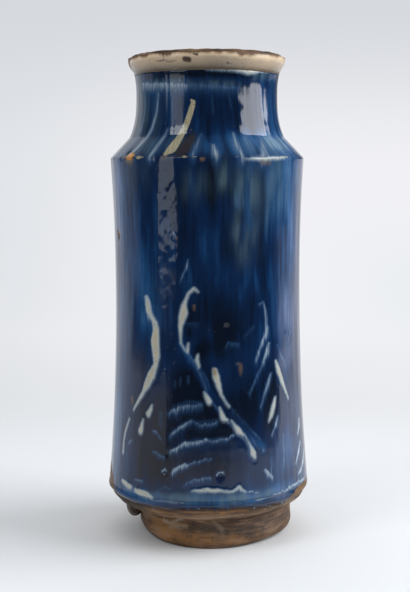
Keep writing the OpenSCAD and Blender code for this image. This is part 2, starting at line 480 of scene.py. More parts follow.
def ripple(bearing, height, across, rise, seed):
    """Smooth noise from -1 to 1, with so many cells round the jar, each so tall."""
    rows = int(LATTICE_TALL / rise) + 3
    lattice = np.random.default_rng(seed).uniform(-1, 1, (rows, across))
    u = (bearing / (2 * math.pi) % 1.0) * across
    v = np.clip(height / rise, 0, rows - 2)
    i = np.floor(u).astype(int)
    j = np.floor(v).astype(int)
    fu = u - i
    fv = v - j
    fu = fu * fu * (3 - 2 * fu)
    fv = fv * fv * (3 - 2 * fv)
    left = i % across
    right = (i + 1) % across
    low = lattice[j, left] * (1 - fu) + lattice[j, right] * fu
    high = lattice[j + 1, left] * (1 - fu) + lattice[j + 1, right] * fu
    return low * (1 - fv) + high * fv


def step(numbers, start, end):
    """0 up to start, 1 from end, smooth between."""
    t = np.clip((numbers - start) / (end - start), 0, 1)
    return t * t * (3 - 2 * t)


FAR = 30.0
PIXEL_MM = 0.6
MEAN_R = 60.0
NEAR_ROUND = 14.0
NEAR_UP = 12.0
WASH_POWER = 2.6


def round_gap(bearing, about):
    """The shorter way round from one bearing to another."""
    return (bearing - about + math.pi) % (2 * math.pi) - math.pi


def sides(bearing, repeat):
    """A mark's bearings: in front, and a half turn on if the pattern is repeated."""
    return (bearing, bearing + math.pi) if repeat else (bearing,)


def stroke_gap(bearing, height, strokes, run=0.0, fray=0.0, tail=1.0, repeat=False):
    """How far each vertex is from the edge of the nearest stroke, in mm, negative inside it."""
    gap = np.full(len(bearing), FAR)
    teeth = 0.6 * ripple(bearing, height, 190, 0.02, 5) + 0.4 * ripple(bearing, height, 430, 0.02, 7)
    sag = run * teeth + fray * ripple(bearing, height, 320, 0.0015, 6)
    tall = height / mm + sag
    for points in strokes:
        points = np.array(points, dtype=float)
        seen_at, seen_h = onto_jar(points[:, :2])
        half = points[:, 2] * PIXEL_MM / np.sqrt(np.clip(np.cos(seen_at), 0.3, 1))
        reach = jar_radius(seen_h).mean() / mm
        rise = seen_h / mm
        for at in sides(seen_at, repeat):
            for k in range(len(points) - 1):
                about = (at[k] + at[k + 1]) / 2
                x = round_gap(bearing, about) * reach
                near = np.abs(x) < NEAR_ROUND + abs(at[k + 1] - at[k]) * reach
                near &= tall > min(rise[k], rise[k + 1]) - NEAR_UP
                near &= tall < max(rise[k], rise[k + 1]) + NEAR_UP
                x = x[near]
                y = tall[near]
                x0 = (at[k] - about) * reach
                x1 = (at[k + 1] - about) * reach
                dx = x1 - x0
                dy = rise[k + 1] - rise[k]
                t = np.clip(((x - x0) * dx + (y - rise[k]) * dy) / (dx * dx + dy * dy + 1e-9), 0, 1)
                drop = y - rise[k] - t * dy
                away = np.hypot(x - x0 - t * dx, np.where(drop < 0, drop / tail, drop * tail))
                away -= half[k] + t * (half[k + 1] - half[k])
                gap[near] = np.minimum(gap[near], away)
    return gap


def stroke_mask(bearing, height, strokes, soft, run=0.0, fray=0.0, repeat=False):
    """The strongest of some strokes, each (strength, its points), softer where they are wider."""
    mask = np.zeros(len(bearing))
    for strength, points in strokes:
        gap = stroke_gap(bearing, height, (points,), run, fray, tail=2.4, repeat=repeat)
        blur = soft * PIXEL_MM * np.mean([half for _, _, half in points])
        mask = np.maximum(mask, strength * (1 - step(gap, -blur, blur)))
    return mask


def washes(bearing, height, spots):
    """Soft patches added up: each is (x, y, half width, half height, strength) in pixels."""
    total = np.zeros(len(bearing))
    wander = 0.3 * ripple(bearing, height, 60, 0.025, 11) + 0.2 * ripple(bearing, height, 150, 0.012, 12)
    for x, y, wide, tall, strength in spots:
        at, rise = onto_jar(np.array([[x, y]], dtype=float))
        turn = wide * PIXEL_MM * mm / jar_radius(rise[0]) / max(math.cos(at[0]), 0.35)
        for side in sides(at[0], True):
            u = np.abs(round_gap(bearing, side) / turn + wander)
            v = np.abs((height - rise[0]) / mm / (tall * PIXEL_MM) + wander)
            total += strength * np.exp(-(u ** WASH_POWER) - v ** WASH_POWER)
    return total


print("painting helpers ready")

# %% [markdown]
# ## Shared finishes
#
# Two effects are used again and again. Runs are the long streaks of a glaze that flowed down the wall:
# noise squeezed across and drawn out in height, at several sizes. Grit is what a wood kiln leaves in
# clay and glaze: fine grain, and pinholes where gas came out. Each is a node group, built once.


# %% Shared node groups
def shader_group(name, inputs, outputs):
    """A shader group with named inputs and number outputs, and what the inputs give."""
    tree = bpy.data.node_groups.new(name, "ShaderNodeTree")
    for label, kind, preset in inputs:
        socket = tree.interface.new_socket(label, in_out="INPUT", socket_type=kind)
        if preset is not None:
            socket.default_value = preset
    for label in outputs:
        tree.interface.new_socket(label, in_out="OUTPUT", socket_type="NodeSocketFloat")
    return tree, add(tree, "NodeGroupInput").outputs


def runs_group():
    """Noise drawn out into streaks down the wall."""
    inputs = (
        ("Flow", "NodeSocketVector", None),
        ("Squeeze", "NodeSocketFloat", 0.05),
        ("Scale", "NodeSocketFloat", 2.0),
        ("Shift", "NodeSocketFloat", 0.0),
    )
    tree, given = shader_group("glaze runs", inputs, ("Runs",))
    squeeze = add(tree, "ShaderNodeCombineXYZ", {0: 1.0, 1: 1.0, 2: given["Squeeze"]}).outputs[0]
    drawn = vectors(tree, "MULTIPLY", given["Flow"], squeeze)
    shift = add(tree, "ShaderNodeCombineXYZ", {0: given["Shift"], 1: given["Shift"], 2: given["Shift"]})
    drawn = vectors(tree, "ADD", drawn, shift.outputs[0])
    streaks = cloud(tree, drawn, given["Scale"], 2.0, 0.55)
    add(tree, "NodeGroupOutput", {"Runs": streaks})
    return tree


def grit_group():
    """Fine grain and pinholes."""
    inputs = (("Place", "NodeSocketVector", None), ("Size", "NodeSocketFloat", 1.0))
    tree, given = shader_group("kiln grit", inputs, ("Grain", "Pinholes"))
    feeds = {0: given["Place"], "Scale": given["Size"]}
    scaled = add(tree, "ShaderNodeVectorMath", feeds, operation="SCALE").outputs[0]
    grain = cloud(tree, scaled, 1500.0, 3.0, 0.6)
    feeds = {"Vector": scaled, "Scale": 420.0}
    cell = add(tree, "ShaderNodeTexVoronoi", feeds)
    dot = fade(tree, cell.outputs["Distance"], 0.10, 0.24)
    chance = add(tree, "ShaderNodeSeparateColor", {0: cell.outputs["Color"]}).outputs[0]
    pick = sums(tree, "GREATER_THAN", chance, 0.72)
    add(tree, "NodeGroupOutput", {"Grain": grain, "Pinholes": times(tree, dot, pick)})
    return tree


runs_tree = runs_group()
grit_tree = grit_group()


def grouped(tree, group, feeds):
    """A shared group placed in a material."""
    return add(tree, "ShaderNodeGroup", feeds, node_tree=group).outputs


def new_material(name):
    """An empty node material, its tree, its Object coordinates and its shader."""
    material = bpy.data.materials.new(name)
    material.use_nodes = True
    tree = material.node_tree
    tree.nodes.clear()
    shader = add(tree, "ShaderNodeBsdfPrincipled")
    add(tree, "ShaderNodeOutputMaterial", {"Surface": shader.outputs[0]})
    place = add(tree, "ShaderNodeTexCoord").outputs["Object"]
    return material, tree, place, shader


def bumped(tree, shader, height, depth_mm):
    """Fine relief from a height, in mm, into the shader's normal."""
    bump = add(tree, "ShaderNodeBump", {"Height": height, "Distance": depth_mm * mm, "Strength": 1.0})
    tree.links.new(bump.outputs[0], shader.inputs["Normal"])


print("groups:", runs_tree.name, "and", grit_tree.name)

# %% [markdown]
# ## Cobalt glaze
#
# The glaze is glass. Where it lies thick it is nearly black, and where it ran thin the slip shines
# through as slate, pale blue or cream. So its colour is a depth: the streaks, the painted washes and
# some blotches are added up, and one ramp turns the sum into colour. The brush marks are laid over
# that by their distance, with frayed edges and a pale halo. A lavender sheen on the sides is a painted
# reflection of the room and window, a dark band under the rim is a painted shadow, and a few pale marks
# are painted highlights. Only small unevenness is left to bump.


# %% Cobalt glaze
BLACK_BLUE = shade(5, 17, 34)
NAVY = shade(8, 36, 72)
COBALT = shade(24, 67, 111)
MID_BLUE = shade(62, 100, 146)
HAZE_BLUE = shade(120, 148, 172)
SLATE = shade(88, 112, 120)
SMOKE = shade(48, 44, 50)
# Lavender for a painted reflection of the pale room and window on the sides of the glaze.
REFLECTION_LAVENDER = shade(112, 124, 160)
VEIN_AND_GLINT_BLUE = shade(44, 78, 118)
PALE_VEIN_AND_GLINT = shade(172, 188, 196)
CREAM_LINE = shade(186, 173, 147)
STRAW = shade(150, 150, 122)
OCHRE = shade(136, 98, 58)
AMBER = shade(126, 103, 70)
EDGE_BROWN = shade(66, 52, 38)
GOLD = shade(208, 142, 70)


def blue_material(name):
    """The running blue glaze, with all its painted layers."""
    material, tree, place, shader = new_material(name)
    flow = add(tree, "ShaderNodeAttribute", attribute_name="flow").outputs["Vector"]

    def runs(squeeze, scale, shift):
        """Streaks of one size, drawn out by the squeeze."""
        feeds = {"Flow": flow, "Squeeze": squeeze, "Scale": scale, "Shift": shift}
        return grouped(tree, runs_tree, feeds)["Runs"]

    broad = runs(0.16, 1.3, 3.0)
    fine = runs(0.07, 4.5, 9.0)
    hair = runs(0.08, 15.0, 13.0)
    blotch = cloud(tree, vectors(tree, "MULTIPLY", flow, (1, 1, 0.4)), 0.7, 3.0)
    runny = painted(tree, "runny")
    depth = sway(tree, painted(tree, "tone"), broad, times(tree, runny, 0.58))
    depth = sway(tree, depth, fine, times(tree, runny, 0.40))
    depth = sway(tree, depth, blotch, 0.4)
    stops = ((0.0, BLACK_BLUE), (0.35, NAVY), (0.58, COBALT), (0.8, MID_BLUE), (1.0, HAZE_BLUE))
    colour = ramp(tree, depth, stops)
    thin = fade(tree, runs(0.14, 1.9, 17.0), 0.36, 0.62, 0.25, 1.0)
    thin = times(tree, thin, painted(tree, "slate"), True)
    colour = lay(tree, thin, colour, SLATE)
    smoke = times(tree, painted(tree, "smoke"), fade(tree, blotch, 0.3, 0.6, 0.5, 1.0))
    colour = lay(tree, smoke, colour, SMOKE)
    # Painted reflection: lavender laid into the colour where the sides of the glaze mirror the room and
    # window.
    painted_reflection = times(tree, painted(tree, "lavender"), fade(tree, fine, 0.3, 0.65, 0.5, 1.0), True)
    colour = lay(tree, painted_reflection, colour, REFLECTION_LAVENDER)
    # The pale layer holds the veins and a few painted highlights.
    vein_and_glint = times(tree, painted(tree, "pale"), fade(tree, hair, 0.3, 0.7, 0.6, 1.0), True)
    colour = lay(tree, fade(tree, vein_and_glint, 0.0, 0.4, 0.0, 0.8), colour, VEIN_AND_GLINT_BLUE)
    colour = lay(tree, fade(tree, vein_and_glint, 0.2, 0.75, 0.0, 1.0), colour, PALE_VEIN_AND_GLINT)
    fray = times(tree, sums(tree, "SUBTRACT", cloud(tree, place, 900.0, 3.0, 0.6), 0.5), 0.9)
    # The cream distance also holds one painted highlight along the shoulder edge.
    gap = plus(tree, painted(tree, "cream_and_highlight"), fray)
    colour = lay(tree, fade(tree, gap, 0.0, 1.3, 0.4, 0.0), colour, HAZE_BLUE)
    line = fade(tree, gap, -0.9, 0.6)
    milky = fade(tree, cloud(tree, place, 240.0, 2.0), 0.35, 0.65, 0.0, 0.3)
    clouded = lay(tree, milky, CREAM_LINE, HAZE_BLUE)
    clouded = lay(tree, fade(tree, gap, -1.9, -0.3, 0.0, 0.6), clouded, PALE_VEIN_AND_GLINT)
    colour = lay(tree, line, colour, clouded)
    straw = fade(tree, plus(tree, painted(tree, "straw"), fray), -0.3, 0.4, 0.92, 0.0)
    colour = lay(tree, straw, colour, lay(tree, fade(tree, hair, 0.3, 0.7), STRAW, CREAM_LINE))
    amber = painted(tree, "amber")
    colour = lay(tree, amber, colour, AMBER)
    colour = lay(tree, fade(tree, amber, 0.86, 1.0, 0.0, 1.0), colour, GOLD)
    chip = fade(tree, plus(tree, painted(tree, "chip"), fray), -0.2, 0.2)
    patchy = fade(tree, cloud(tree, place, 240.0, 5.0, 0.65), 0.3, 0.7, 0.2, 0.75)
    colour = lay(tree, chip, colour, lay(tree, patchy, EDGE_BROWN, OCHRE))
    grit = grouped(tree, grit_tree, {"Place": place, "Size": 1.0})
    colour = lay(tree, times(tree, grit["Pinholes"], 0.5), colour, BLACK_BLUE)
    tree.links.new(colour, shader.inputs["Base Color"])
    shader.inputs["IOR"].default_value = 1.5
    gloss = sway(tree, 0.09, cloud(tree, place, 60.0), 0.10)
    gloss = plus(tree, gloss, times(tree, line, 0.12))
    gloss = plus(tree, gloss, times(tree, chip, 0.4))
    tree.links.new(gloss, shader.inputs["Roughness"])
    skin = cloud(tree, vectors(tree, "MULTIPLY", place, (1, 1, 0.15)), 330.0, 2.0)
    skin = plus(tree, skin, times(tree, fine, 0.5))
    skin = sums(tree, "SUBTRACT", skin, times(tree, grit["Pinholes"], 0.5))
    bumped(tree, shader, skin, 0.05)
    return material


blue_glaze = blue_material("cobalt_glaze")
print("made", blue_glaze.name)

# %% [markdown]
# ## Where the brush went
#
# The leaves were drawn through the glaze, so their lines show the slip as cream. Each stroke is a list
# of (x, y, half width) in pixels, read from the photograph and followed to the clay. Veins are
# softer, and dark pools and pale washes are softer still. The back has no photograph, so it takes the
# same leaves again after half a turn, as a painter repeats a pattern on the far side.

# %% Cream lines of the leaves, and a painted highlight
cream_and_highlight_strokes = (
    ((147, 296, 0.9), (147.8, 303, 2.6), (148.6, 310, 2.4), (151.4, 316, 1.8), (154.6, 322, 2.2),
     (156, 330, 3.2), (155.2, 341, 4.4), (156.4, 355, 3.7), (156, 364, 2.2), (151.5, 374, 3.9),
     (147, 384, 3.2), (143.6, 392, 1.8), (139, 400, 1.3), (134, 409, 0.9)),
    ((130, 418, 0.8), (126, 430, 0.9), (124.3, 440, 0.8), (123.5, 452, 1.1)),
    ((152, 404, 0.6), (150.5, 409, 1.8), (148.5, 413, 2.4)),
    ((143.5, 419, 0.6), (142, 426, 1.8), (141, 430, 2.6)),
    ((198, 291.5, 0.7), (194, 287.5, 1.2), (189, 293, 0.9), (185.8, 301, 1.2), (184.2, 306, 2.2),
     (184, 312, 3.8), (182.2, 318, 3.2), (180.5, 326, 2), (180.6, 336, 1.1), (181, 343, 0.6),
     (185, 350, 0.5)),
    ((188.5, 343, 0.6), (187.5, 351, 1.3)),
    ((198, 354, 0.6), (197, 360, 1.7), (199, 366, 1)),
    ((214.5, 369, 2), (216, 376, 3.1), (218.5, 385, 2.3), (221, 394, 1.1), (226, 402, 0.7),
     (229, 405.5, 0.7)),
    ((204, 392, 0.5), (207, 397, 2), (209, 401, 2.4)),
    ((219.5, 407, 0.6), (221.5, 413, 1.7), (223, 417, 2.4), (227, 419, 1)),
    ((231, 420, 0.4), (234.5, 425, 1.1), (238.5, 430, 2.7), (243, 434.5, 0.9)),
    ((243.6, 433.4, 0.4), (248, 441, 0.4), (251, 447, 1.1), (253, 453, 2.7), (254.5, 457, 1.5)),
    ((275.5, 361, 1), (278, 370, 2.4), (281.5, 380, 2), (285, 390, 1.2), (288, 398, 0.7)),
    ((275, 397, 0.7), (273, 406, 2.2), (271, 414, 1.8), (269, 420, 0.7)),
    ((192, 491, 0.7), (200, 490, 1.4), (208, 489.5, 1.8), (216, 490, 1.5), (224, 491, 1), (231, 491, 0.9),
     (236, 489.5, 1.2), (239, 486.5, 1.6), (241, 489, 1.5), (245, 491.5, 0.8)),
    ((123, 480.5, 1.5), (127, 483.5, 2.1), (131, 486.5, 1.9)),
    ((136, 489.5, 1.9), (141, 491.5, 2.5), (147, 494, 2.5), (152, 497, 1.4)),
    ((298.5, 418, 0.7), (298.5, 425, 1.2), (297.5, 433, 0.6)),
    # Painted highlight: a pale line along the right of the shoulder edge, where the window shines on it.
    ((246, 158.6, 0.4), (256, 158.2, 1.1), (266, 158.4, 1.4), (276, 157.8, 1.1), (285, 157.4, 0.4)),
    ((206, 68.6, 0.4), (220, 69, 0.6), (232, 69.4, 0.7), (241, 70.2, 1.3), (249, 71, 2.1),
     (256, 70.4, 1.8), (261, 69.2, 1.1)),
)
print(len(cream_and_highlight_strokes), "cream strokes")

# %% Pale veins, painted highlights, straw marks and chips
# Veins, amber spots and stems have a strength before their points.
pale_strokes = (
    (0.95, ((146, 296, 1.8), (148, 305, 3), (149, 314, 2.2))),
    (0.60, ((188, 259, 0.6), (186.8, 267, 1.5), (183, 274.5, 1.2), (180.4, 282, 0.6))),
    (0.75, ((173.8, 232.6, 1), (175, 234.6, 1.2))),
    (0.30, ((175.5, 380, 0.8), (175, 386, 1))),
    (0.30, ((180.5, 377, 0.8), (180, 384, 1))),
    (0.35, ((188.5, 376, 0.8), (188, 381, 1.2))),
    (0.56, ((169.5, 412, 1.6), (176, 409, 2.4), (182, 406, 2.4), (190, 405.5, 1.8), (201, 404, 1.4))),
    (0.62, ((170.5, 436, 1.2), (176.4, 429, 1.8), (184, 425, 1.8), (189, 422, 1.4), (191.7, 419.5, 0.8))),
    (0.52, ((191.7, 420, 0.7), (199.4, 424, 1.2), (209.6, 423.4, 1.3), (217, 421.5, 1.3))),
    (0.76, ((171, 451, 1.3), (176, 448, 1.6), (184, 443.5, 1.7), (193, 442, 1.4), (202, 440.6, 1.3),
            (207, 438.7, 1.2))),
    (0.60, ((207, 438.7, 0.8), (212, 441, 1), (220, 439, 1), (227.5, 438, 1.1), (233, 434.5, 1.4))),
    (0.80, ((172.6, 472.5, 1.2), (175, 468.6, 1.8), (181.5, 465.5, 1.5), (188, 464, 1.1))),
    (0.56, ((188, 464, 1), (195, 462, 1.1), (203, 460, 0.8), (212, 458, 0.6))),
    (0.28, ((171, 411, 3), (178, 406, 4), (188, 402, 3.4), (200, 402, 2.4))),
    (0.28, ((172, 433, 2.4), (180, 427, 3.4), (190, 421, 2.6))),
    (0.24, ((196, 421, 2.4), (208, 421, 3), (217, 419, 2.4))),
    (0.28, ((172, 450, 2), (184, 443, 3), (196, 440, 3), (210, 439, 2.4), (225, 437, 2.4))),
    (0.50, ((184, 484, 0.9), (193, 480.5, 1.5), (202, 478, 1.6), (211, 477, 1.3))),
    # Painted highlight: the pale crescent on the rim of the pit at the lower middle.
    (0.90, ((216.6, 475, 0.4), (217.8, 472.6, 0.7), (220.4, 471.6, 0.8), (223, 472.6, 0.7),
            (224.2, 475, 0.4))),
    (0.35, ((199, 366, 1), (206, 377, 1.2), (209, 387, 0.8))),
    (0.60, ((259, 304, 0.5), (262.5, 301, 0.9), (265, 309, 1.2), (266, 320, 1.5), (266, 330, 1.7))),
    (0.72, ((267, 327, 1.5), (266, 333, 2.6), (262.4, 341, 1.9), (259, 350, 1.3), (256, 360, 0.8))),
    (0.76, ((268.6, 343, 1.3), (267, 351, 2.2), (263.4, 361, 1.5))),
    (0.45, ((263.4, 361, 1.4), (257, 376, 1.4), (250, 392, 1))),
    (0.55, ((270.5, 373, 1.5), (267.5, 384, 2.2), (264.5, 394, 1.6), (261, 406, 0.9))),
    (0.70, ((278, 414, 0.8), (276, 424, 1.6), (272, 434, 0.8))),
    (0.50, ((250, 430, 0.7), (255, 434, 0.9), (260, 440, 0.7))),
    # Painted highlight: a white glint on the lower right.
    (0.85, ((265, 468.6, 1), (267.6, 471.6, 2), (272, 477, 1.2))),
    (0.70, ((262.5, 447, 0.6), (263.5, 450, 1))),
    (0.50, ((271, 457, 0.7), (271.5, 466, 1), (271, 477, 0.7))),
    (0.55, ((283, 433, 0.8), (284, 450, 1.2), (284, 470, 0.8))),
    (0.90, ((303.4, 450, 0.8), (302.6, 460, 1.3), (301, 467, 1.3), (298.5, 472.5, 0.9))),
    (0.85, ((300, 440, 0.8), (298.5, 450, 1.4), (296, 462, 0.9))),
    (0.55, ((277, 345, 0.8), (281, 355, 1.3), (286, 366, 1))),
    (0.45, ((290, 330, 0.8), (288.5, 338, 1.3), (287, 346, 0.8))),
    (0.60, ((153, 430, 0.8), (155.5, 430.5, 1.1), (158, 434, 0.9), (161, 439, 0.6))),
    (0.30, ((161, 412, 1.4), (161, 424, 1.8))),
    (0.45, ((153.5, 451, 1), (159, 454, 1.5), (164, 457, 1))),
    # Painted highlight: the pale crescent on the rim of the small pit on the left.
    (0.80, ((161.8, 472, 0.4), (163, 470, 0.7), (165, 469.6, 0.7), (166.6, 471.4, 0.4))),
    (0.60, ((129, 443, 0.9), (131.5, 439.5, 1.5))),
    (0.50, ((135, 478.5, 0.8), (139.5, 479.5, 1.2), (143, 480.5, 0.8))),
    (0.40, ((160, 487.5, 0.6), (166, 486.5, 0.8), (171, 488.5, 0.5))),
    (0.70, ((245, 491.5, 0.7), (251, 490.5, 0.8), (258, 493, 0.6))),
    (0.80, ((270, 495.5, 0.4), (280, 492, 0.7), (290, 486.5, 0.8), (298, 481.5, 0.7), (304, 477, 0.6))),
    (0.48, ((181, 343, 1), (187, 352, 1.4), (194, 361, 1.6), (202, 377, 1.2), (208, 396, 1),
            (221, 413, 1), (236, 430, 1), (250, 446.5, 1))),
    (0.34, ((214, 370, 1), (221, 393, 1.1), (233, 410, 1.1), (243, 421, 0.9), (252, 430, 1),
            (264, 443, 0.9))),
    (0.30, ((245, 335, 1), (253.5, 326, 1.4))),
    (0.25, ((187, 322, 1.4), (197, 324, 1.6))),
    (0.35, ((226, 347, 1), (229, 342, 1.4), (238, 344, 1.2))),
    (0.66, ((143, 83.5, 2.2), (155, 83.8, 2.6), (175, 84, 2.8), (186, 84, 2.2))),
    (0.40, ((186, 84, 2.2), (200, 84.5, 2.4), (218, 85.5, 2.4), (238, 86.5, 2))),
    (0.46, ((146, 92, 1.2), (145, 110, 1.5), (141, 128, 2.2), (132, 144, 2.4), (124, 152, 1.6))),
    (0.70, ((158.5, 93, 1), (157, 110, 1.5), (152, 128, 2.4), (144, 140, 3), (136, 149, 2.6))),
    (0.68, ((168, 128, 1.4), (160, 142, 2.6), (150, 156, 2.4))),
    (0.50, ((201, 134, 1.4), (197, 144, 2.8), (193, 154, 2.4))),
    (0.70, ((213.5, 144, 2), (215.5, 152, 3.4))),
    (0.62, ((233.5, 133, 1.8), (237, 145, 3.2), (242, 156, 3))),
    (0.62, ((261, 140, 2.6), (263, 149, 4.6), (263, 156, 4))),
    (0.40, ((275, 134, 1.4), (284, 148, 3), (290, 157, 2.8))),
    (0.36, ((245, 128, 2), (249, 142, 3.6), (252, 157, 3.6))),
    (0.28, ((212, 94, 0.9), (213, 112, 1.1))),
    (0.28, ((229, 90, 0.8), (231, 106, 1))),
)
straw_strokes = (
    ((190.8, 99.4, 0.5), (193.4, 102.2, 2.2), (192, 107, 2.9), (187.6, 121, 3), (185, 128, 3),
     (181, 134.6, 3.3), (176.4, 142.5, 3.9), (171.6, 149, 4.4), (166.4, 153.4, 2.2)),
)
amber_strokes = (
    (1.25, ((130.5, 153.6, 2.6), (133, 154.6, 2.4))),
    (0.25, ((163.5, 155.6, 1.6), (166.5, 156.2, 1.3))),
    (1.00, ((200.4, 158.6, 0.6), (204, 158.6, 0.6))),
    (0.50, ((261, 160.8, 1.1), (270, 161.2, 1.2))),
    (0.60, ((186.2, 121.8, 0.8), (186.6, 122.4, 0.8))),
    (0.55, ((176.4, 236.4, 0.8), (176.8, 238, 0.8))),
    (0.55, ((194, 305.8, 1.1), (194.2, 307, 1.2))),
    (0.42, ((240.4, 363.5, 1.5), (240.7, 368, 1.9), (240.8, 372, 1.1))),
    (0.85, ((213.8, 368.3, 1.2), (214.8, 371.5, 1.7))),
    (0.65, ((132, 397, 1), (132.6, 401, 1))),
    (0.20, ((270, 497.5, 0.6), (284, 493, 0.8))),
)
chip_strokes = (
    ((117.6, 231, 1.1), (119.3, 236, 1.5), (119.5, 240, 0.8)),
    ((306.2, 478, 1), (303.6, 486, 2.6), (298, 491.5, 3.2), (291.5, 496.8, 2.4), (286, 501, 1)),
)
stem_strokes = (
    (0.26, ((180.5, 342, 2), (190, 357, 3.5), (199, 371, 4.5), (207, 388, 4.8), (217, 401, 5),
            (228, 412, 5), (240, 425, 5), (252, 438, 4.5), (263, 445, 3))),
)
print(len(pale_strokes), "veins,", len(straw_strokes), "straw marks,", len(amber_strokes), "amber spots")

# %% Dark pools, pale washes, a painted shadow and painted reflections
# Each is (x, y, half width, half height) in pixels, and a strength. Pools are below 0 and washes above.
tone_washes = (
    (119, 205, 6, 50, 0.36),
    (193, 322, 7, 16, -0.30),
    (172, 345, 8, 16, -0.12),
    (203, 352, 8, 12, -0.20),
    (204, 376, 6, 12, -0.16),
    (236, 264, 14, 18, -0.14),
    (247, 246, 8, 14, -0.10),
    (286, 164, 8, 12, 0.16),
    (202, 250, 8, 20, 0.12),
    (286, 240, 7, 22, -0.08),
    (256, 287, 11, 18, 0.06),
    (274, 402, 8, 26, -0.22),
    (288, 400, 10, 28, -0.20),
    (148, 215, 10, 50, -0.06),
    (191, 240, 13, 30, -0.14),
    (211, 185, 3, 32, -0.30),
    (231, 198, 4, 16, -0.20),
    (237.5, 200, 3, 15, 0.12),
    (216, 228, 5, 38, 0.06),
    (227, 240, 7, 20, -0.26),
    (244, 195, 13, 34, 0.14),
    (239, 216, 4, 9, -0.26),
    (261.5, 225, 4, 70, -0.28),
    (273, 200, 7, 60, 0.08),
    (288, 200, 12, 60, 0.34),
    (196, 180, 44, 28, -0.20),
    (289, 270, 10, 26, 0.06),
    (122, 320, 8, 70, 0.16),
    (143, 270, 14, 50, 0.18),
    (152, 322, 14, 16, 0.20),
    (160, 300, 9, 34, -0.04),
    (225, 322, 27, 34, -0.36),
    (254, 284, 12, 22, 0.08),
    (264, 290, 3, 40, -0.16),
    (285, 320, 12, 26, 0.20),
    (290, 385, 12, 36, 0.04),
    (185, 385, 16, 20, -0.42),
    (240, 385, 13, 26, -0.16),
    (208, 350, 16, 8, -0.12),
    (116, 430, 7, 60, 0.42),
    (152, 436, 22, 48, -0.30),
    (268, 402, 9, 36, -0.24),
    (205, 424, 34, 28, -0.46),
    (200, 468, 50, 14, -0.26),
    (250, 410, 10, 28, -0.26),
    (284, 456, 14, 24, 0.22),
    (284, 488, 24, 8, 0.26),
    (215, 500, 70, 5, 0.30),
    (220.4, 476.4, 2, 2, -0.4),
    (164.2, 472.6, 1.6, 1.6, -0.4),
    (135, 494, 24, 8, 0.28),
    (128, 492, 6, 4, 0.20),
    # Painted shadow: the dark band on the neck just under the rim, where the lip shades it.
    (205, 73, 60, 4, -0.42),
    (225, 110, 22, 26, -0.22),
    (165, 112, 24, 26, -0.02),
    (268, 110, 9, 30, 0.14),
    (264, 75, 10, 5, 0.20),
    (250, 144, 34, 11, 0.36),
    (279, 143, 14, 10, 0.40),
    (170, 148, 50, 9, 0.10),
    (190, 140, 5, 5, -0.50),
    (185, 146, 6, 5, -0.55),
    (181, 152, 6, 4, -0.50),
    (248, 140, 8, 8, 0.14),
    (157, 140, 8, 8, 0.12),
)
slate_washes = (
    (130, 176, 14, 18, 0.25),
    (194, 186, 12, 14, 0.25),
    (223, 177, 8, 16, 0.55),
    (247, 190, 14, 22, 0.55),
    (236, 228, 4, 12, 0.40),
    (246, 240, 14, 22, 0.30),
    (274, 190, 8, 30, 0.25),
    (284, 185, 14, 34, 0.30),
    (143, 112, 7, 30, 0.45),
    (158, 112, 5, 30, 0.40),
    (160, 84, 24, 4.5, 0.9),
    (215, 85, 24, 4, 0.45),
    (264, 76, 9, 5, 0.6),
    (150, 146, 34, 9, 0.45),
    (255, 147, 30, 8, 0.40),
    (215, 500, 80, 5, 0.65),
)
smoke_washes = (
    (150, 430, 18, 52, 0.45),
    (200, 474, 44, 12, 0.35),
    (142, 365, 8, 20, 0.35),
    (160, 300, 9, 30, 0.15),
    (190, 140, 5, 5, 0.8),
    (185, 147, 6, 5, 0.9),
    (181, 152, 6, 4, 0.7),
)
# Painted reflections, in lavender, on the left and right sides of the glaze.
reflection_washes = (
    (121, 330, 8, 90, 0.22),
    (116, 205, 5, 50, 0.60),
    (288.5, 313, 9.5, 24, 0.50),
    (287, 355, 9, 12, 0.35),
    (291, 395, 8, 24, 0.10),
    (288, 440, 15, 45, 0.22),
    (295, 220, 6, 60, 0.14),
)
print(len(tone_washes), "pools and washes,", len(slate_washes), "slate patches")

# %% [markdown]
# ## The glazed wall
#
# The coat of glaze is a thin closed shell that follows the wall. Its rows stand close together, so that
# the edge of a brush mark is not a staircase. Its relief is real: runs, lines that stand proud, pits and
# pimples.


# %% Relief of the glaze
# Each pit or pimple is (x, y, half width) in pixels, and how far it stands out in mm.
knobs = (
    (174.5, 236.4, 1.8, 0.8),
    (220.4, 476, 2.2, -0.9),
    (164.2, 472.4, 1.7, -0.6),
    (174.5, 364, 0.9, 0.35),
    (164.7, 371.5, 0.9, 0.35),
    (189, 380, 1.1, 0.3),
    (226, 322, 1.8, 0.5),
    (227, 328, 2.4, -0.6),
    (215, 333, 1.2, -0.4),
    (209, 332, 1.0, -0.4),
    (237.6, 366, 2.4, -0.3),
    (192.4, 307, 2.0, -0.3),
    (119, 236, 2.5, -0.7),
    (286, 333, 1.4, 0.5),
    (289, 334, 1.2, 0.4),
    (129, 153, 3.0, -0.5),
)


def bump_at(bearing, height, at, level, size, depth):
    """One round pit or pimple, in mm."""
    total = np.zeros(len(bearing))
    near = np.abs(height - level) < 3 * size * mm
    u = round_gap(bearing[near], at) * MEAN_R / size
    v = (height[near] - level) / mm / size
    total[near] = depth * np.exp(-(u * u + v * v))
    return total


def dents(bearing, height, count, seed, sizes, depths):
    """Small pits and pimples, scattered over the wall with a fixed seed, in mm."""
    total = np.zeros(len(bearing))
    draw = np.random.default_rng(seed)
    for _ in range(count):
        at = draw.uniform(-math.pi, math.pi)
        level = draw.uniform(coat_low, coat_high)
        total += bump_at(bearing, height, at, level, draw.uniform(*sizes), draw.uniform(*depths))
    return total


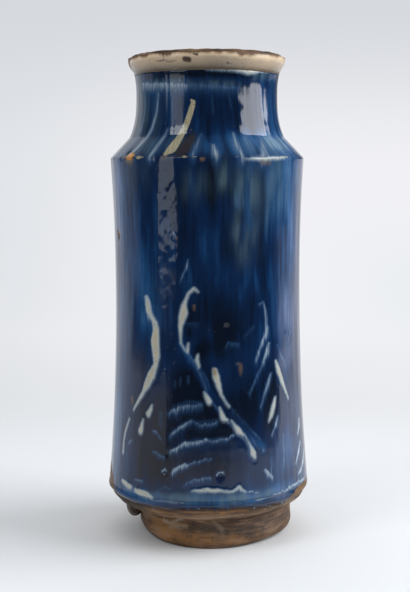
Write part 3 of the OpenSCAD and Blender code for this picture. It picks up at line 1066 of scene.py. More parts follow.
def glaze_relief(bearing, height, cream_and_highlight):
    """How far the glaze stands out, in mm."""
    runs = 0.10 * ripple(bearing, height, 70, 0.06, 21) + 0.05 * ripple(bearing, height, 170, 0.04, 22)
    lines = 0.28 * step(-cream_and_highlight, -0.8, 0.5) - 0.05 * step(-np.abs(cream_and_highlight - 1.4), -1.2, 0)
    total = runs + lines + dents(bearing, height, 100, 25, (0.7, 1.3), (-0.10, 0.06))
    lumpy = washes(bearing, height, ((166, 222, 10, 78, 1.0),))
    bent_at = bearing + 0.03 * ripple(bearing, height, 100, 0.004, 29)
    bent_h = height + 0.0022 * ripple(bearing, height, 110, 0.005, 30)
    waves = 0.08 * ripple(bent_at, bent_h, 140, 0.003, 27) + 0.11 * ripple(bent_at, bent_h, 80, 0.008, 28)
    total += lumpy * waves
    for x, y, half, depth in knobs:
        at, level = onto_jar(np.array([[x, y]], dtype=float))
        total += bump_at(bearing, height, at[0], level[0], half * PIXEL_MM, depth)
    return total


GLAZE_DEPTH = 0.36
RUNS_CALM = 110 * mm
RUNS_FULL = 170 * mm
NICK_DEEP = 0.7 * mm
NICK_TALL = 1.3 * mm
BARE_AT = math.radians(-97)
BARE_SPREAD = math.radians(28.5)
BARE_TALL = 27 * mm


def paint_glaze(piece, bearing, height):
    """All the painted layers of the blue glaze on one piece, and its cream distances."""
    cream_and_highlight = stroke_gap(bearing, height, cream_and_highlight_strokes, run=0.4, fray=0.2, tail=1.4, repeat=True)
    paint_flow(piece, bearing, height)
    paint(piece, "cream_and_highlight", cream_and_highlight)
    paint(piece, "pale", stroke_mask(bearing, height, pale_strokes, 2.3, run=0.8, fray=0.3, repeat=True))
    flat = np.full(len(bearing), shoulder_z)
    bitten = ripple(bearing, flat, 110, 0.5, 33) + 0.6 * ripple(bearing, flat, 37, 0.5, 34) - 0.1
    worn_edge = np.abs(height - shoulder_z) / mm + 0.5 - 1.7 * np.clip(bitten, 0, 1)
    paint(piece, "straw", np.minimum(stroke_gap(bearing, height, straw_strokes), worn_edge))
    paint(piece, "amber", stroke_mask(bearing, height, amber_strokes, 1.0, fray=0.3))
    rise = BARE_TALL * np.exp(-(np.abs(round_gap(bearing, BARE_AT) / BARE_SPREAD) ** 3))
    ragged = 2.6 * ripple(bearing, height, 44, 0.012, 35) + 1.1 * ripple(bearing, height, 150, 0.004, 36)
    missed = (height - hem[0, 1] - rise) / mm + 3 + ragged
    paint(piece, "chip", np.minimum(stroke_gap(bearing, height, chip_strokes, fray=0.4), missed))
    stems = stroke_mask(bearing, height, stem_strokes, 0.6, run=0.4, repeat=True)
    paint(piece, "tone", GLAZE_DEPTH + washes(bearing, height, tone_washes) + stems)
    paint(piece, "runny", 0.45 + 0.55 * step(height, RUNS_CALM, RUNS_FULL))
    for name, spots in (("slate", slate_washes), ("smoke", smoke_washes), ("lavender", reflection_washes)):
        paint(piece, name, np.clip(washes(bearing, height, spots), 0, 1))
    return cream_and_highlight


def glaze(piece, outer_rows):
    """Paint a thrown shell of glaze, raise its relief and nick its shoulder."""
    spots, bearing, height, normals, row = read_surface(piece)
    cream_and_highlight = paint_glaze(piece, bearing, height)
    outside = (row < outer_rows) & (row > 0)
    relief = np.where(outside, glaze_relief(bearing, height, cream_and_highlight), 0)
    spots = spots + normals * (relief * mm)[:, None]
    flat = np.full(len(bearing), shoulder_z)
    nicks = ripple(bearing, flat, 130, 0.5, 31) + 0.6 * ripple(bearing, flat, 48, 0.5, 32)
    nicks = np.clip(nicks - 0.35, 0, 1)
    nicks = NICK_DEEP * nicks * np.exp(-((height - shoulder_z) / NICK_TALL) ** 2)
    spots[:, :2] *= (1 - nicks / np.hypot(spots[:, 0], spots[:, 1]))[:, None]
    write_places(piece, spots)
    seat(piece, "blue_glaze", "blue_glaze")


print("relief helpers ready")

# %% Body glaze
BODY_TURNS = 480
BODY_ROWS = 196
wall_hands = {"wobble": 0.5 * mm, "size": 0.07, "seed": 4.0, "peel": 0.012 * mm}
body_levels = np.linspace(coat_low, shoulder_z, BODY_ROWS)
body_profile = [(body_r(level), level) for level in body_levels]
body_inner = [(body_r(level) - coat_t, level) for level in np.linspace(shoulder_z, coat_low, 5)]
body_loop = body_profile + body_inner + body_profile[:1]
body_glaze = throw("body_glaze", body_loop, BODY_TURNS, blue_glaze, **wall_hands)
glaze(body_glaze, len(body_profile))

# %% Shoulder and neck glaze
shoulder_rows = np.linspace(shoulder_z, neck_z, 24)[:-1]
shoulder_start = body_r(shoulder_z)
shoulder_end = neck_r(neck_z)
slope_part = (shoulder_rows - shoulder_z) / (neck_z - shoulder_z)
neck_rows = np.linspace(neck_z, coat_high, 50)
neck_profile = [
    (shoulder_start + part * (shoulder_end - shoulder_start), level)
    for part, level in zip(slope_part, shoulder_rows)
]
neck_profile += [(neck_r(level), level) for level in neck_rows]
neck_inner = [(radius - coat_t, level) for radius, level in neck_profile[::-12]]
neck_inner += [(shoulder_start - coat_t, shoulder_z)]
neck_loop = neck_profile + neck_inner + neck_profile[:1]
neck_glaze = throw("neck_glaze", neck_loop, BODY_TURNS, blue_glaze, **wall_hands)
glaze(neck_glaze, len(neck_profile))

# %% [markdown]
# ## The hem
#
# The glaze ran down and stopped above the foot in a thick roll. On the real jar its lower edge wanders,
# so the turned ring is pulled down and up round the jar, and it swells where more glaze gathered. A few
# small beads hang under it.

# %% Hem
hem_low = hem[0, 1]
hem_high = hem[-1, 1]
hem_levels = np.linspace(hem_low, hem_high, 26)
hem_out = smooth_curve(hem)
hem_profile = [(hem_out(level), level) for level in hem_levels]
hem_back = [(heel_r(level) - HEM_BITE, level) for level in np.linspace(hem_high, hem_low, 6)]
hem_loop = hem_profile + hem_back + hem_profile[:1]


def hem_edge(bearing):
    """The height of the hem's wandering lower edge."""
    flat = np.full(len(bearing), hem_low)
    wander = 1.5 * ripple(bearing, flat, 14, 0.3, 41) + 0.6 * ripple(bearing, flat, 46, 0.3, 42)
    return hem_low + mm * wander


hem_roll = throw("hem_roll", hem_loop, BODY_TURNS, blue_glaze)
spots, bearing, height, normals, row = read_surface(hem_roll)
share = np.clip((hem_high - height) / (hem_high - hem_low), 0, 1)
moved_to = height + share * (hem_edge(bearing) - hem_low)
proud = np.hypot(spots[:, 0], spots[:, 1]) - heel_r(height)
swell = 1 + 0.35 * ripple(bearing, moved_to, 30, 0.01, 43) * np.sin(math.pi * np.clip(share, 0, 1))
radius = heel_r(moved_to) + np.where(proud > 0, proud * swell, proud)
spots = np.stack([radius * np.sin(bearing), -radius * np.cos(bearing), moved_to], 1)
write_places(hem_roll, spots)
paint_glaze(hem_roll, bearing, moved_to)
seat(hem_roll, "blue_hem", "glaze_hem")


# %% Beads under the hem
def bead_tree():
    """Sets a bead of a random size on every point."""
    inputs = (
        ("Places", "NodeSocketGeometry"),
        ("Size", "NodeSocketFloat"),
        ("Smallest", "NodeSocketFloat"),
        ("Seed", "NodeSocketInt"),
        ("Finish", "NodeSocketMaterial"),
    )
    tree, given = geometry_tree("strew beads", inputs, "Beads")
    ball = add(tree, "GeometryNodeMeshIcoSphere", {"Radius": given["Size"], "Subdivisions": 3}).outputs[0]
    draw = {2: given["Smallest"], 3: 1.0, 8: given["Seed"]}
    share = add(tree, "FunctionNodeRandomValue", draw, data_type="FLOAT").outputs[1]
    feeds = {"Points": given["Places"], "Instance": ball, "Scale": share}
    kept = add(tree, "GeometryNodeInstanceOnPoints", feeds).outputs[0]
    kept = passed(tree, kept, "GeometryNodeRealizeInstances")
    kept = passed(tree, kept, "GeometryNodeSetShadeSmooth")
    kept = passed(tree, kept, "GeometryNodeSetMaterial", Material=given["Finish"])
    add(tree, "NodeGroupOutput", {"Beads": kept})
    return tree


def bead_material(name):
    """Blue glass for the beads."""
    material, tree, place, shader = new_material(name)
    colour = lay(tree, fade(tree, cloud(tree, place, 220.0), 0.35, 0.6), COBALT, HAZE_BLUE)
    tree.links.new(colour, shader.inputs["Base Color"])
    shader.inputs["Roughness"].default_value = 0.12
    return material


BEADS = 22
BEAD_R = 0.6 * mm
BEAD_HANG = 1.3
BEAD_SINK = 0.1 * mm
draw = np.random.default_rng(45)
seen_beads = np.radians([-8.0, -5.5, 37.0, 45.0, 47.5, 50.0])
bead_at = np.concatenate([draw.uniform(-math.pi, math.pi, BEADS), seen_beads])
bead_z = hem_edge(bead_at) - draw.uniform(0.0, BEAD_HANG, len(bead_at)) * mm
bead_r = heel_r(bead_z) - BEAD_SINK
bead_mesh = bpy.data.meshes.new("bead_places")
bead_mesh.from_pydata(list(zip(bead_r * np.sin(bead_at), -bead_r * np.cos(bead_at), bead_z)), [], [])
inputs = {"Size": BEAD_R, "Smallest": 0.35, "Seed": 3, "Finish": bead_material("glaze_beads")}
beads = grown("hem_beads", bead_mesh, bead_tree(), inputs)
seat(beads, "blue_hem")
print(len(bead_at), "beads")

# %% [markdown]
# ## Clay
#
# The foot and heel were left bare, and the fire browned them: rusty where flame touched, grey where
# smoke did, with rings from the turning tool and paler smears of slip. Under the hem a dark line is
# painted as its shadow, and a few white glints of the beads are painted on the heel. One recipe serves
# all the clays. In the photograph the heel is flatter than in the solids, so here it meets the foot a
# little higher.


# %% Bare clay
RUST = shade(154, 106, 52)
SOOT = shade(70, 61, 56)
SMEAR_AND_GLINT = shade(164, 146, 124)
# The dark colour of a painted shadow line under the hem.
HEM_SHADOW = shade(34, 30, 34)


def clay_material(name, dark, mid, light, ring_scale):
    """Bare clay with turned rings, rust, soot, pale smears, painted glints and a painted shadow line."""
    material, tree, place, shader = new_material(name)
    patches = cloud(tree, vectors(tree, "MULTIPLY", place, (1, 1, 4)), 45.0, 4.0, 0.6)
    colour = ramp(tree, patches, ((0.35, dark), (0.5, mid), (0.66, light)))
    turned = cloud(tree, vectors(tree, "MULTIPLY", place, (0.06, 0.06, 1)), ring_scale, 3.0, 0.6)
    mottle = cloud(tree, vectors(tree, "MULTIPLY", place, (1, 1, 1.8)), 130.0, 4.0, 0.65)
    rusty = times(tree, painted(tree, "rust"), fade(tree, mottle, 0.35, 0.6, 0.25, 0.9))
    colour = lay(tree, rusty, colour, RUST)
    sooty = times(tree, painted(tree, "soot"), fade(tree, mottle, 0.4, 0.65, 0.95, 0.3))
    colour = lay(tree, sooty, colour, SOOT)
    # Painted shadow: a dark line on the clay just under the hem.
    colour = lay(tree, times(tree, painted(tree, "hem_shadow"), 0.8), colour, HEM_SHADOW)
    colour = lay(tree, fade(tree, turned, 0.5, 0.66, 0.0, 0.65), colour, dark)
    grit = grouped(tree, grit_tree, {"Place": place, "Size": 0.8})
    colour = lay(tree, fade(tree, grit["Grain"], 0.55, 0.75, 0.0, 0.45), colour, light)
    # Pale smears of slip, and a few painted glints.
    smear_and_glint = times(tree, painted(tree, "smear_and_glint"), fade(tree, mottle, 0.35, 0.55, 0.35, 1.0), True)
    colour = lay(tree, smear_and_glint, colour, SMEAR_AND_GLINT)
    colour = lay(tree, times(tree, grit["Pinholes"], 0.8), colour, dark)
    tree.links.new(colour, shader.inputs["Base Color"])
    tree.links.new(sway(tree, 0.74, patches, 0.3), shader.inputs["Roughness"])
    skin = plus(tree, times(tree, grit["Grain"], 0.6), turned)
    skin = plus(tree, skin, mottle)
    skin = sums(tree, "SUBTRACT", skin, grit["Pinholes"])
    bumped(tree, shader, skin, 0.4)
    return material


clays = (
    ("bare_clay", (60, 43, 31), (108, 80, 57), (148, 118, 92), 600.0),
    ("worn_clay", (60, 42, 29), (100, 72, 48), (142, 116, 90), 300.0),
    ("luting_slip", (96, 74, 56), (140, 112, 86), (176, 150, 122), 500.0),
    ("pale_slip", (176, 160, 132), (206, 192, 164), (222, 212, 188), 200.0),
)
bare_clay, worn_clay, luting_clay, pale_slip = (
    clay_material(name, shade(*dark), shade(*mid), shade(*light), ring_scale)
    for name, dark, mid, light, ring_scale in clays
)
print("clays:", bare_clay.name, worn_clay.name, luting_clay.name, pale_slip.name)

# %% Marks on the clay
rust_washes = (
    (158, 526, 18, 12, 0.9),
    (192, 541, 24, 8, 0.8),
    (236, 540, 16, 6, 0.6),
    (170, 511, 26, 6, 0.7),
    (228, 511, 30, 4, 0.7),
    (292, 498, 12, 6, 0.6),
)
soot_washes = (
    (256, 526, 24, 9, 0.9),
    (274, 513, 12, 9, 0.6),
    (206, 529, 22, 4, 0.7),
    (240, 531, 22, 3, 0.7),
    (190, 516, 14, 3, 0.5),
    (140, 508, 8, 6, 0.7),
)
smear_and_glint_strokes = (
    (0.8, ((154, 517.5, 0.5), (161, 520.5, 1.1), (170, 522, 1.4), (180, 521, 0.9))),
    (0.75, ((180, 521, 0.5), (196, 520.5, 0.6), (214, 518.5, 0.7), (228, 515.8, 0.6), (244, 514, 0.5))),
    (0.45, ((168, 526, 1.2), (178, 525.5, 2), (186, 526, 1.2))),
    # Painted highlights: these two white marks are glints of the beads under the hem.
    (0.85, ((265.5, 508.5, 0.6), (265.8, 508.7, 0.6))),
    (0.6, ((272, 507.5, 0.4), (281, 504.5, 0.6))),
    (0.4, ((214, 524, 1.5), (222, 528, 2))),
    (0.45, ((283, 503.5, 1.2), (290, 499.5, 2), (297, 494.5, 1.6))),
)


# Where the painted shadow under the hem lies: its drop below the hem edge, its core and its ends.
HEM_SHADOW_DROP = 0.8 * mm
HEM_SHADOW_CORE = 0.5 * mm
HEM_SHADOW_ENDS = 1.3 * mm


def mark_clay(piece, bearing, height):
    """Rust, soot, a painted shadow under the hem, pale smears and painted glints on bare clay."""
    for name, spots in (("rust", rust_washes), ("soot", soot_washes)):
        paint(piece, name, np.clip(washes(bearing, height, spots), 0, 1))
    # Painted shadow under the hem roll.
    off = np.abs(height - hem_edge(bearing) + HEM_SHADOW_DROP)
    paint(piece, "hem_shadow", 1 - step(off, HEM_SHADOW_CORE, HEM_SHADOW_ENDS))
    paint(piece, "smear_and_glint", stroke_mask(bearing, height, smear_and_glint_strokes, 1.0, run=0.3, fray=0.3))


print(len(rust_washes), "rusty and", len(soot_washes), "sooty patches,", len(smear_and_glint_strokes), "smears")

# %% Foot
FOOT_TURNS = 400
FOOT_RISE = 3.0 * mm
FOOT_WOBBLE_SIZE = 0.03
RISE_STARTS = 0.4
HEM_COVER = 2 * mm
hollow = rings("foot", np.min, centre_x=foot_x)
hollow_r = hollow[0, 0]
hollow_z = hollow[np.abs(hollow[:, 0] - hollow_r) < 0.05 * mm][-1, 1]
under = [(hollow_r * t, hollow_z) for t in np.linspace(0, 1, 10)]
inside = [(hollow_r, hollow_z * (1 - t)) for t in np.linspace(0, 1, 8)[1:]]
skin_rows = 76
skin = [(foot_out_r, foot_top * t) for t in np.linspace(0, 1, skin_rows)]
top = [(foot_up_r * (1 - t), foot_top) for t in np.linspace(0, 1, 6)[1:]]
foot_profile = under + inside + skin + top
foot_ring = throw(
    "foot_ring", foot_profile, FOOT_TURNS, bare_clay, centre=(foot_x, 0, 0),
    wobble=0.6 * mm, size=FOOT_WOBBLE_SIZE, seed=7.0,
)

# %% Wear on the foot
EVEN_EDGE = 2.4 * mm
# Each worn stretch is (bearing, spread) in degrees, and how much rounder the edge is there.
worn_edges = (
    (-84, 38, 7.0 * mm),
    (55, 45, 7.4 * mm),
    (160, 30, 3.0 * mm),
)
spots, bearing, height, normals, row = read_surface(foot_ring)
around = np.arctan2(spots[:, 0] - foot_x, -spots[:, 1])
flat = np.full(len(around), 0.1)
round_edge = EVEN_EDGE + 0.5 * mm * ripple(around, flat, 24, 0.3, 71)
for at, spread, more in worn_edges:
    off = np.degrees(round_gap(around, math.radians(at)))
    round_edge += more * np.exp(-np.abs(off / spread) ** WASH_POWER)
floor_run = np.maximum(foot_out_r - hollow_r - round_edge, 0.1 * mm)
arc_run = round_edge * math.pi / 2
part = np.clip((row - len(under + inside)) / (skin_rows - 1), 0, 1)
run = part * (floor_run + arc_run + foot_top - round_edge)
bend = np.clip((run - floor_run) / round_edge, 0, math.pi / 2)
level = round_edge * (1 - np.cos(bend)) + np.maximum(run - floor_run - arc_run, 0)
reach = np.where(run < floor_run, hollow_r + run, foot_out_r - round_edge * (1 - np.sin(bend)))
reach += (foot_up_r - foot_out_r) * level / foot_top
tool = 0.12 * ripple(around, level, 12, 0.0016, 72) + 0.2 * ripple(around, level, 34, 0.005, 73)
reach += np.where(part > 0.15, np.hypot(spots[:, 0] - foot_x, spots[:, 1]) - foot_out_r + tool * mm, 0)
laid = (row >= len(under + inside)) & (row < len(under + inside) + skin_rows)
moved = np.stack([foot_x + reach * np.sin(around), -reach * np.cos(around), level], 1)
spots = np.where(laid[:, None], moved, spots)
spots[:, 2] += FOOT_RISE * step(spots[:, 2], RISE_STARTS * foot_top, foot_top)
write_places(foot_ring, spots)
mark_clay(foot_ring, bearing, spots[:, 2])
seat(foot_ring, "bare_clay", "foot")

# %% Heel
dish_floor = rings("base_dish", np.min, low=0.01)
floor_level = dish_floor[dish_floor[:, 1] > dish_low + 4 * mm][0]
low_side = [(dish_side[0, 0] * t, dish_low) for t in np.linspace(0, 1, 12)[:-1]]
outer_side = [(heel_r(level), level) for level in np.linspace(dish_low, dish_side[-1, 1], 44)]
mitre = rings("base_dish", np.max)[-2:]
basin = dish_floor[(dish_floor[:, 1] >= floor_level[1]) & (dish_floor[:, 0] < mitre[-1, 0] + 0.3 * mm)]
basin = [tuple(point) for point in basin[::-1]]
heel_profile = low_side + outer_side + [tuple(point) for point in mitre] + basin + [(0.0, floor_level[1])]
heel = throw(
    "heel", heel_profile, FOOT_TURNS, bare_clay, wobble=0.3 * mm, size=FOOT_WOBBLE_SIZE, seed=8.0
)
spots, bearing, height, normals, row = read_surface(heel)
tool = 0.14 * ripple(bearing, height, 14, 0.0014, 74) + 0.22 * ripple(bearing, height, 60, 0.003, 75)
skin = (row > len(low_side) + 1) & (row < len(low_side + outer_side) - 8)
spots = spots + normals * (np.where(skin, tool, 0) * mm)[:, None]
under_hem = hem_low - HEM_COVER
drop = np.clip((under_hem - height) / (under_hem - dish_low), 0, 1)
spots[:, 2] += np.where(row < len(low_side + outer_side), FOOT_RISE * drop, 0)
write_places(heel, spots)
mark_clay(heel, bearing, spots[:, 2])
seat(heel, "bare_clay", "base_dish")

# %% [markdown]
# ## The rim
#
# The lip was dipped in a plain cream glaze. The band is painted darker low down and lighter above, as
# painted shade and highlight on its rolled shape, with a painted shadow line along its lower edge and a
# few patches of painted shade and highlight round it. Its top is worn back to the clay. The line between
# the glaze and the clay is ragged, so it is painted as a distance and frayed in the material.


# %% Cream glaze
# Colours of the painted shade low on the band and of the painted highlight above.
LOW_SHADE = shade(92, 86, 76)
TOP_HIGHLIGHT = shade(244, 220, 188)


def cream_material(name, base, warm, dull):
    """Pale glaze with painted shade low down, a painted highlight above and a painted shadow line, worn
    and pitted.
    """
    material, tree, place, shader = new_material(name)
    patches = cloud(tree, place, 55.0, 3.0, 0.55)
    colour = ramp(tree, patches, ((0.3, dull), (0.5, base), (0.7, warm)))
    grit = grouped(tree, grit_tree, {"Place": place, "Size": 1.0})
    colour = lay(tree, times(tree, grit["Pinholes"], 0.5), colour, EDGE_BROWN)
    rise = painted(tree, "under")
    # Painted shade and highlight: the band darkens towards its foot and lightens towards its top.
    colour = lay(tree, fade(tree, rise, 0.0, 4.5, 0.62, 0.0), colour, LOW_SHADE)
    colour = lay(tree, fade(tree, rise, 4.2, 7.6, 0.0, 0.72), colour, TOP_HIGHLIGHT)
    fray = times(tree, sums(tree, "SUBTRACT", cloud(tree, place, 700.0, 4.0, 0.65), 0.5), 2.2)
    bare = fade(tree, plus(tree, painted(tree, "worn"), fray), -0.25, 0.25)
    clay = lay(tree, cloud(tree, place, 320.0, 3.0), shade(78, 56, 40), shade(134, 104, 78))
    colour = lay(tree, bare, colour, clay)
    fringe = fade(tree, plus(tree, painted(tree, "worn"), fray), 0.3, 1.3, 0.55, 0.0)
    colour = lay(tree, times(tree, fringe, fade(tree, bare, 0.0, 1.0)), colour, OCHRE)
    # Painted shadow: a dark line along the bottom of the band, under the lip's roll.
    under = fade(tree, plus(tree, rise, fray), 1.2, -1.2, 0.0, 0.75)
    colour = lay(tree, under, colour, shade(74, 66, 56))
    pit = fade(tree, plus(tree, painted(tree, "pit"), times(tree, fray, 0.3)), -0.7, 0.7)
    colour = lay(tree, pit, colour, shade(64, 44, 28))
    tree.links.new(colour, shader.inputs["Base Color"])
    gloss = sums(tree, "MULTIPLY_ADD", bare, 0.5)
    gloss.node.inputs[2].default_value = 0.2
    tree.links.new(gloss, shader.inputs["Roughness"])
    skin = sums(tree, "SUBTRACT", cloud(tree, place, 260.0, 2.0), times(tree, bare, 0.5))
    bumped(tree, shader, skin, 0.14)
    return material


creams = (
    ("cream_glaze", (178, 157, 132), (190, 164, 133), (162, 144, 123)),
    ("lining_glaze", (176, 166, 140), (186, 172, 142), (150, 142, 120)),
)
cream_glaze, lining_glaze = (
    cream_material(name, shade(*base), shade(*warm), shade(*dull)) for name, base, warm, dull in creams
)
print("made", cream_glaze.name, "and", lining_glaze.name)

# %% Cream band
pit_strokes = (
    ((184.5, 58.8, 2.4), (188.6, 59.4, 2.6)),
    ((193.5, 53.6, 0.8), (197, 54.4, 1.1)),
    ((155, 60.5, 0.1), (159, 61.2, 0.3), (163.6, 60, 0.4), (168, 61.6, 0.3), (172, 61.2, 0.2),
     (176, 60, 0.1)),
    ((163, 50.5, 0.3), (163.2, 54, 0.5), (163.6, 59, 0.2)),
    ((227, 63, 0.7), (228, 63.4, 0.6)),
)
# Painted shade and highlight on the band: the first three patches darken it, the last lights it on the
# right.
rim_painted_light = (
    (203, 65, 18, 8, -0.7),
    (214, 61, 8, 8, -0.5),
    (153, 61, 8, 8, -0.7),
    (259, 60, 12, 10, 1.0),
)
LIP_TURNS = 480
lip_hands = {"wobble": 0.3 * mm, "size": 0.05, "seed": 9.0}
WORN_DROP = 2.9 * mm
LEFT_WEAR = 8 * mm
LEFT_WEAR_AT = math.radians(-90)
LEFT_WEAR_SPREAD = 0.22
UNDER_RISE = 1.6
BAND_EASE = 2.0 * mm
band_levels = np.linspace(band[0, 1], band[-1, 1], 44)
around_level = band_levels[:, None] + np.linspace(-BAND_EASE, BAND_EASE, 11)[None, :]
band_profile = list(zip(np.interp(around_level, band[:, 1], band[:, 0]).mean(1), band_levels))
band_inner = [(radius - coat_t, level) for radius, level in band_profile[::-4]]
band_loop = band_profile + band_inner + band_profile[:1]
rim_band = throw("rim_band", band_loop, LIP_TURNS, cream_glaze, **lip_hands)
spots, bearing, height, normals, row = read_surface(rim_band)
lip_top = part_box("lip")[1].z
nibbles = 0.8 * ripple(bearing, height, 26, 0.3, 61) + 0.9 * ripple(bearing, height, 90, 0.3, 62)
left_wear = LEFT_WEAR * np.exp(-((round_gap(bearing, LEFT_WEAR_AT) / LEFT_WEAR_SPREAD) ** 2))
paint(rim_band, "worn", (lip_top - WORN_DROP - left_wear - height) / mm + nibbles)
paint(rim_band, "under", (height - band[0, 1]) / mm - UNDER_RISE + washes(bearing, height, rim_painted_light))
pits = stroke_gap(bearing, height, pit_strokes)
paint(rim_band, "pit", pits)
outside = (row < len(band_profile)) & (row > 0)
relief = 0.08 * ripple(bearing, height, 60, 0.004, 63) - 0.5 * step(-pits, -0.2, 0.8)
relief = np.where(outside, relief, 0)
write_places(rim_band, spots + normals * (relief * mm)[:, None])
seat(rim_band, "cream_glaze", "rim_glaze")

# %% Worn lip
CROWN_STARTS = 3.5 * mm
CROWN_FULL = 1.5 * mm
lip_rings = np.concatenate([rings("lip", np.max), rings("lip", np.min)])
lip_heart = lip_rings.mean(0)
lip_turn = np.arctan2(lip_rings[:, 1] - lip_heart[1], lip_rings[:, 0] - lip_heart[0])
lip_line = lip_rings[np.argsort(lip_turn)]
lip_line = np.concatenate([lip_line, lip_line[:1]])
along = np.concatenate([[0], np.cumsum(np.hypot(*np.diff(lip_line, axis=0).T))])
evenly = np.linspace(0, along[-1], 90)
lip_profile = list(zip(*(np.interp(evenly, along, lip_line[:, axis]) for axis in (0, 1))))
worn_lip = throw("worn_lip", lip_profile, LIP_TURNS, worn_clay, **lip_hands)
spots, bearing, height, normals, row = read_surface(worn_lip)
bitten = 0.18 * ripple(bearing, height, 90, 0.003, 64) + 0.12 * ripple(bearing, height, 40, 0.004, 65)
crown = step(height, lip_top - CROWN_STARTS, lip_top - CROWN_FULL)
write_places(worn_lip, spots + normals * ((bitten - 0.15) * crown * mm)[:, None])
seat(worn_lip, "worn_clay", "lip")

# %% Lining
LINING_TURNS = 300
LINING_RISE = 4.5
FINGER_PITCH = 7 * mm
WALL_ENDS = 253.5 * mm
THROAT_STARTS = 254 * mm
MOUTH_STARTS = 256 * mm
lining_in = rings("lining_glaze", np.min)
lining_out = rings("lining_glaze", np.max)
lining_t = (lining_out[:, 0] - lining_in[:, 0]).max()
wall = lining_out[:, 0] - lining_in[:, 0] > 0.5 * lining_t
floor_z = lining_out[0, 1] + lining_t
wall_start = lining_in[wall][0]
fillet = wall_start[1] - floor_z
curve = [
    (wall_start[0] - fillet * (1 - math.sin(a)), wall_start[1] - fillet * math.cos(a))
    for a in np.linspace(0, math.pi / 2, 12)[:-1]
]
seen = [(curve[0][0] * t, floor_z) for t in np.linspace(0, 1, 24)[:-1]] + curve
lining_line = smooth_curve(lining_in[wall & (lining_in[:, 1] < THROAT_STARTS)])
seen += [(lining_line(level), level) for level in np.linspace(wall_start[1], WALL_ENDS, 120)]
throat = lining_in[wall & (lining_in[:, 1] > THROAT_STARTS)]
mouth_levels = np.linspace(MOUTH_STARTS, throat[-1, 1], 24)
mouth = np.interp(mouth_levels, np.r_[WALL_ENDS, throat[:, 1]], np.r_[seen[-1][0], throat[:, 0]])
seen += list(zip(mouth, mouth_levels))
hidden = [(radius + lining_t, level) for radius, level in seen[::-8] if level > wall_start[1]]
hidden += [(curve[0][0], floor_z - lining_t), (0.0, floor_z - lining_t)]
lining = throw("lining", seen + hidden, LINING_TURNS, lining_glaze)
spots, bearing, height, normals, row = read_surface(lining)
for name, number in (("worn", FAR), ("pit", FAR), ("under", LINING_RISE)):
    paint(lining, name, np.full(len(bearing), number))
fingers = 0.25 * np.sin(height / FINGER_PITCH * 2 * math.pi + bearing)
fingers += 0.1 * ripple(bearing, height, 30, 0.02, 66)
outside = (row < len(seen)) & (height > wall_start[1]) & (height < throat[-1, 1] - mm)
write_places(lining, spots + normals * (np.where(outside, fingers - 0.05, 0) * mm)[:, None])
seat(lining, "lining_glaze", "lining_glaze")

# %% [markdown]
# ## The lump at the heel
#
# A few drops of glaze and clay stuck under the hem on the left. The CAD lump gives their place. A copy
# of it is remeshed, swollen and smoothed, so that the drops run into each other, and then drawn up to
# the heel.


# %% Lump
def dark_material(name):
    """Dark, glassy drops of glaze and clay."""
    material, tree, place, shader = new_material(name)
    mottle = cloud(tree, place, 260.0, 4.0, 0.6)
    stops = ((0.3, shade(28, 22, 18)), (0.52, shade(64, 46, 32)), (0.72, shade(110, 80, 54)))
    colour = ramp(tree, mottle, stops)
    tree.links.new(colour, shader.inputs["Base Color"])
    tree.links.new(fade(tree, mottle, 0.4, 0.65, 0.2, 0.65), shader.inputs["Roughness"])
    bumped(tree, shader, cloud(tree, place, 800.0, 3.0), 0.3)
    return material


LUMP_VOXEL = 0.35 * mm
LUMP_SWELL = 1.0 * mm
LUMP_SMOOTHING = 6
LUMP_RISE = 4.0 * mm
dark_glaze = dark_material("dark_glaze")
lump_mesh = nodes["foot_lump"].data.copy()
work = bmesh.new()
work.from_mesh(lump_mesh)
bmesh.ops.remove_doubles(work, verts=work.verts, dist=0.01 * mm)
work.to_mesh(lump_mesh)
work.free()
lump_maker = bpy.data.objects.new("lump_maker", lump_mesh)
scene.collection.objects.link(lump_maker)
remesh = lump_maker.modifiers.new("remesh", "REMESH")
remesh.mode = "VOXEL"
remesh.voxel_size = LUMP_VOXEL
swell = lump_maker.modifiers.new("swell", "DISPLACE")
swell.strength = LUMP_SWELL
swell.mid_level = 0.0
smooth = lump_maker.modifiers.new("smooth", "SMOOTH")
smooth.iterations = LUMP_SMOOTHING
graph = bpy.context.evaluated_depsgraph_get()
lump_made = bpy.data.meshes.new_from_object(lump_maker.evaluated_get(graph))
bpy.data.objects.remove(lump_maker)
lump_made.materials.clear()
lump_made.materials.append(dark_glaze)
lump = bpy.data.objects.new("heel_lump", lump_made)
scene.collection.objects.link(lump)
lump_spots = places_of(lump_made)
lump_low = lump_spots[:, 2].min()
lump_high = lump_spots[:, 2].max()
lump_spots[:, 2] += LUMP_RISE * (lump_spots[:, 2] - lump_low) / (lump_high - lump_low)
write_places(lump, lump_spots)
lump_made.shade_smooth()
turn_faces_out(lump_made)
seat(lump, "dark_glaze", "foot_lump")
print("lump has", len(lump_made.polygons), "faces")

# %% [markdown]
# ## Clay that the coats hide
#
# The wall, shoulder, neck, luting and slip are still in the model as CAD solids. They only show at an
# edge, but each gets its clay, so that a chip in the glaze would show the right thing.

# %% Hidden sections
for node, clay in (
    ("body_wall", bare_clay),
    ("shoulder", bare_clay),
    ("neck", bare_clay),
    ("luting_slip", luting_clay),
    ("slip_coat", pale_slip),
):
    nodes[node].data.materials.clear()
    nodes[node].data.materials.append(clay)
print("CAD sections dressed")

# %% [markdown]
# ## Floor, backdrop and light
#
# The jar stands on a pale sweep that bends up behind it. Glossy glaze shows the room, so the room
# matters as much as the lamps: a window on the right, a narrow panel on the left with a lamp above it,
# and a dark space behind the camera that leaves the middle of the jar deep blue. In the glaze the table
# ends in a dark edge. Farther from the jar the sweep glows in painted tones, darker to the left and near
# the top as painted shade. The camera sees a plain pale floor near the window, where it would be too
# bright.


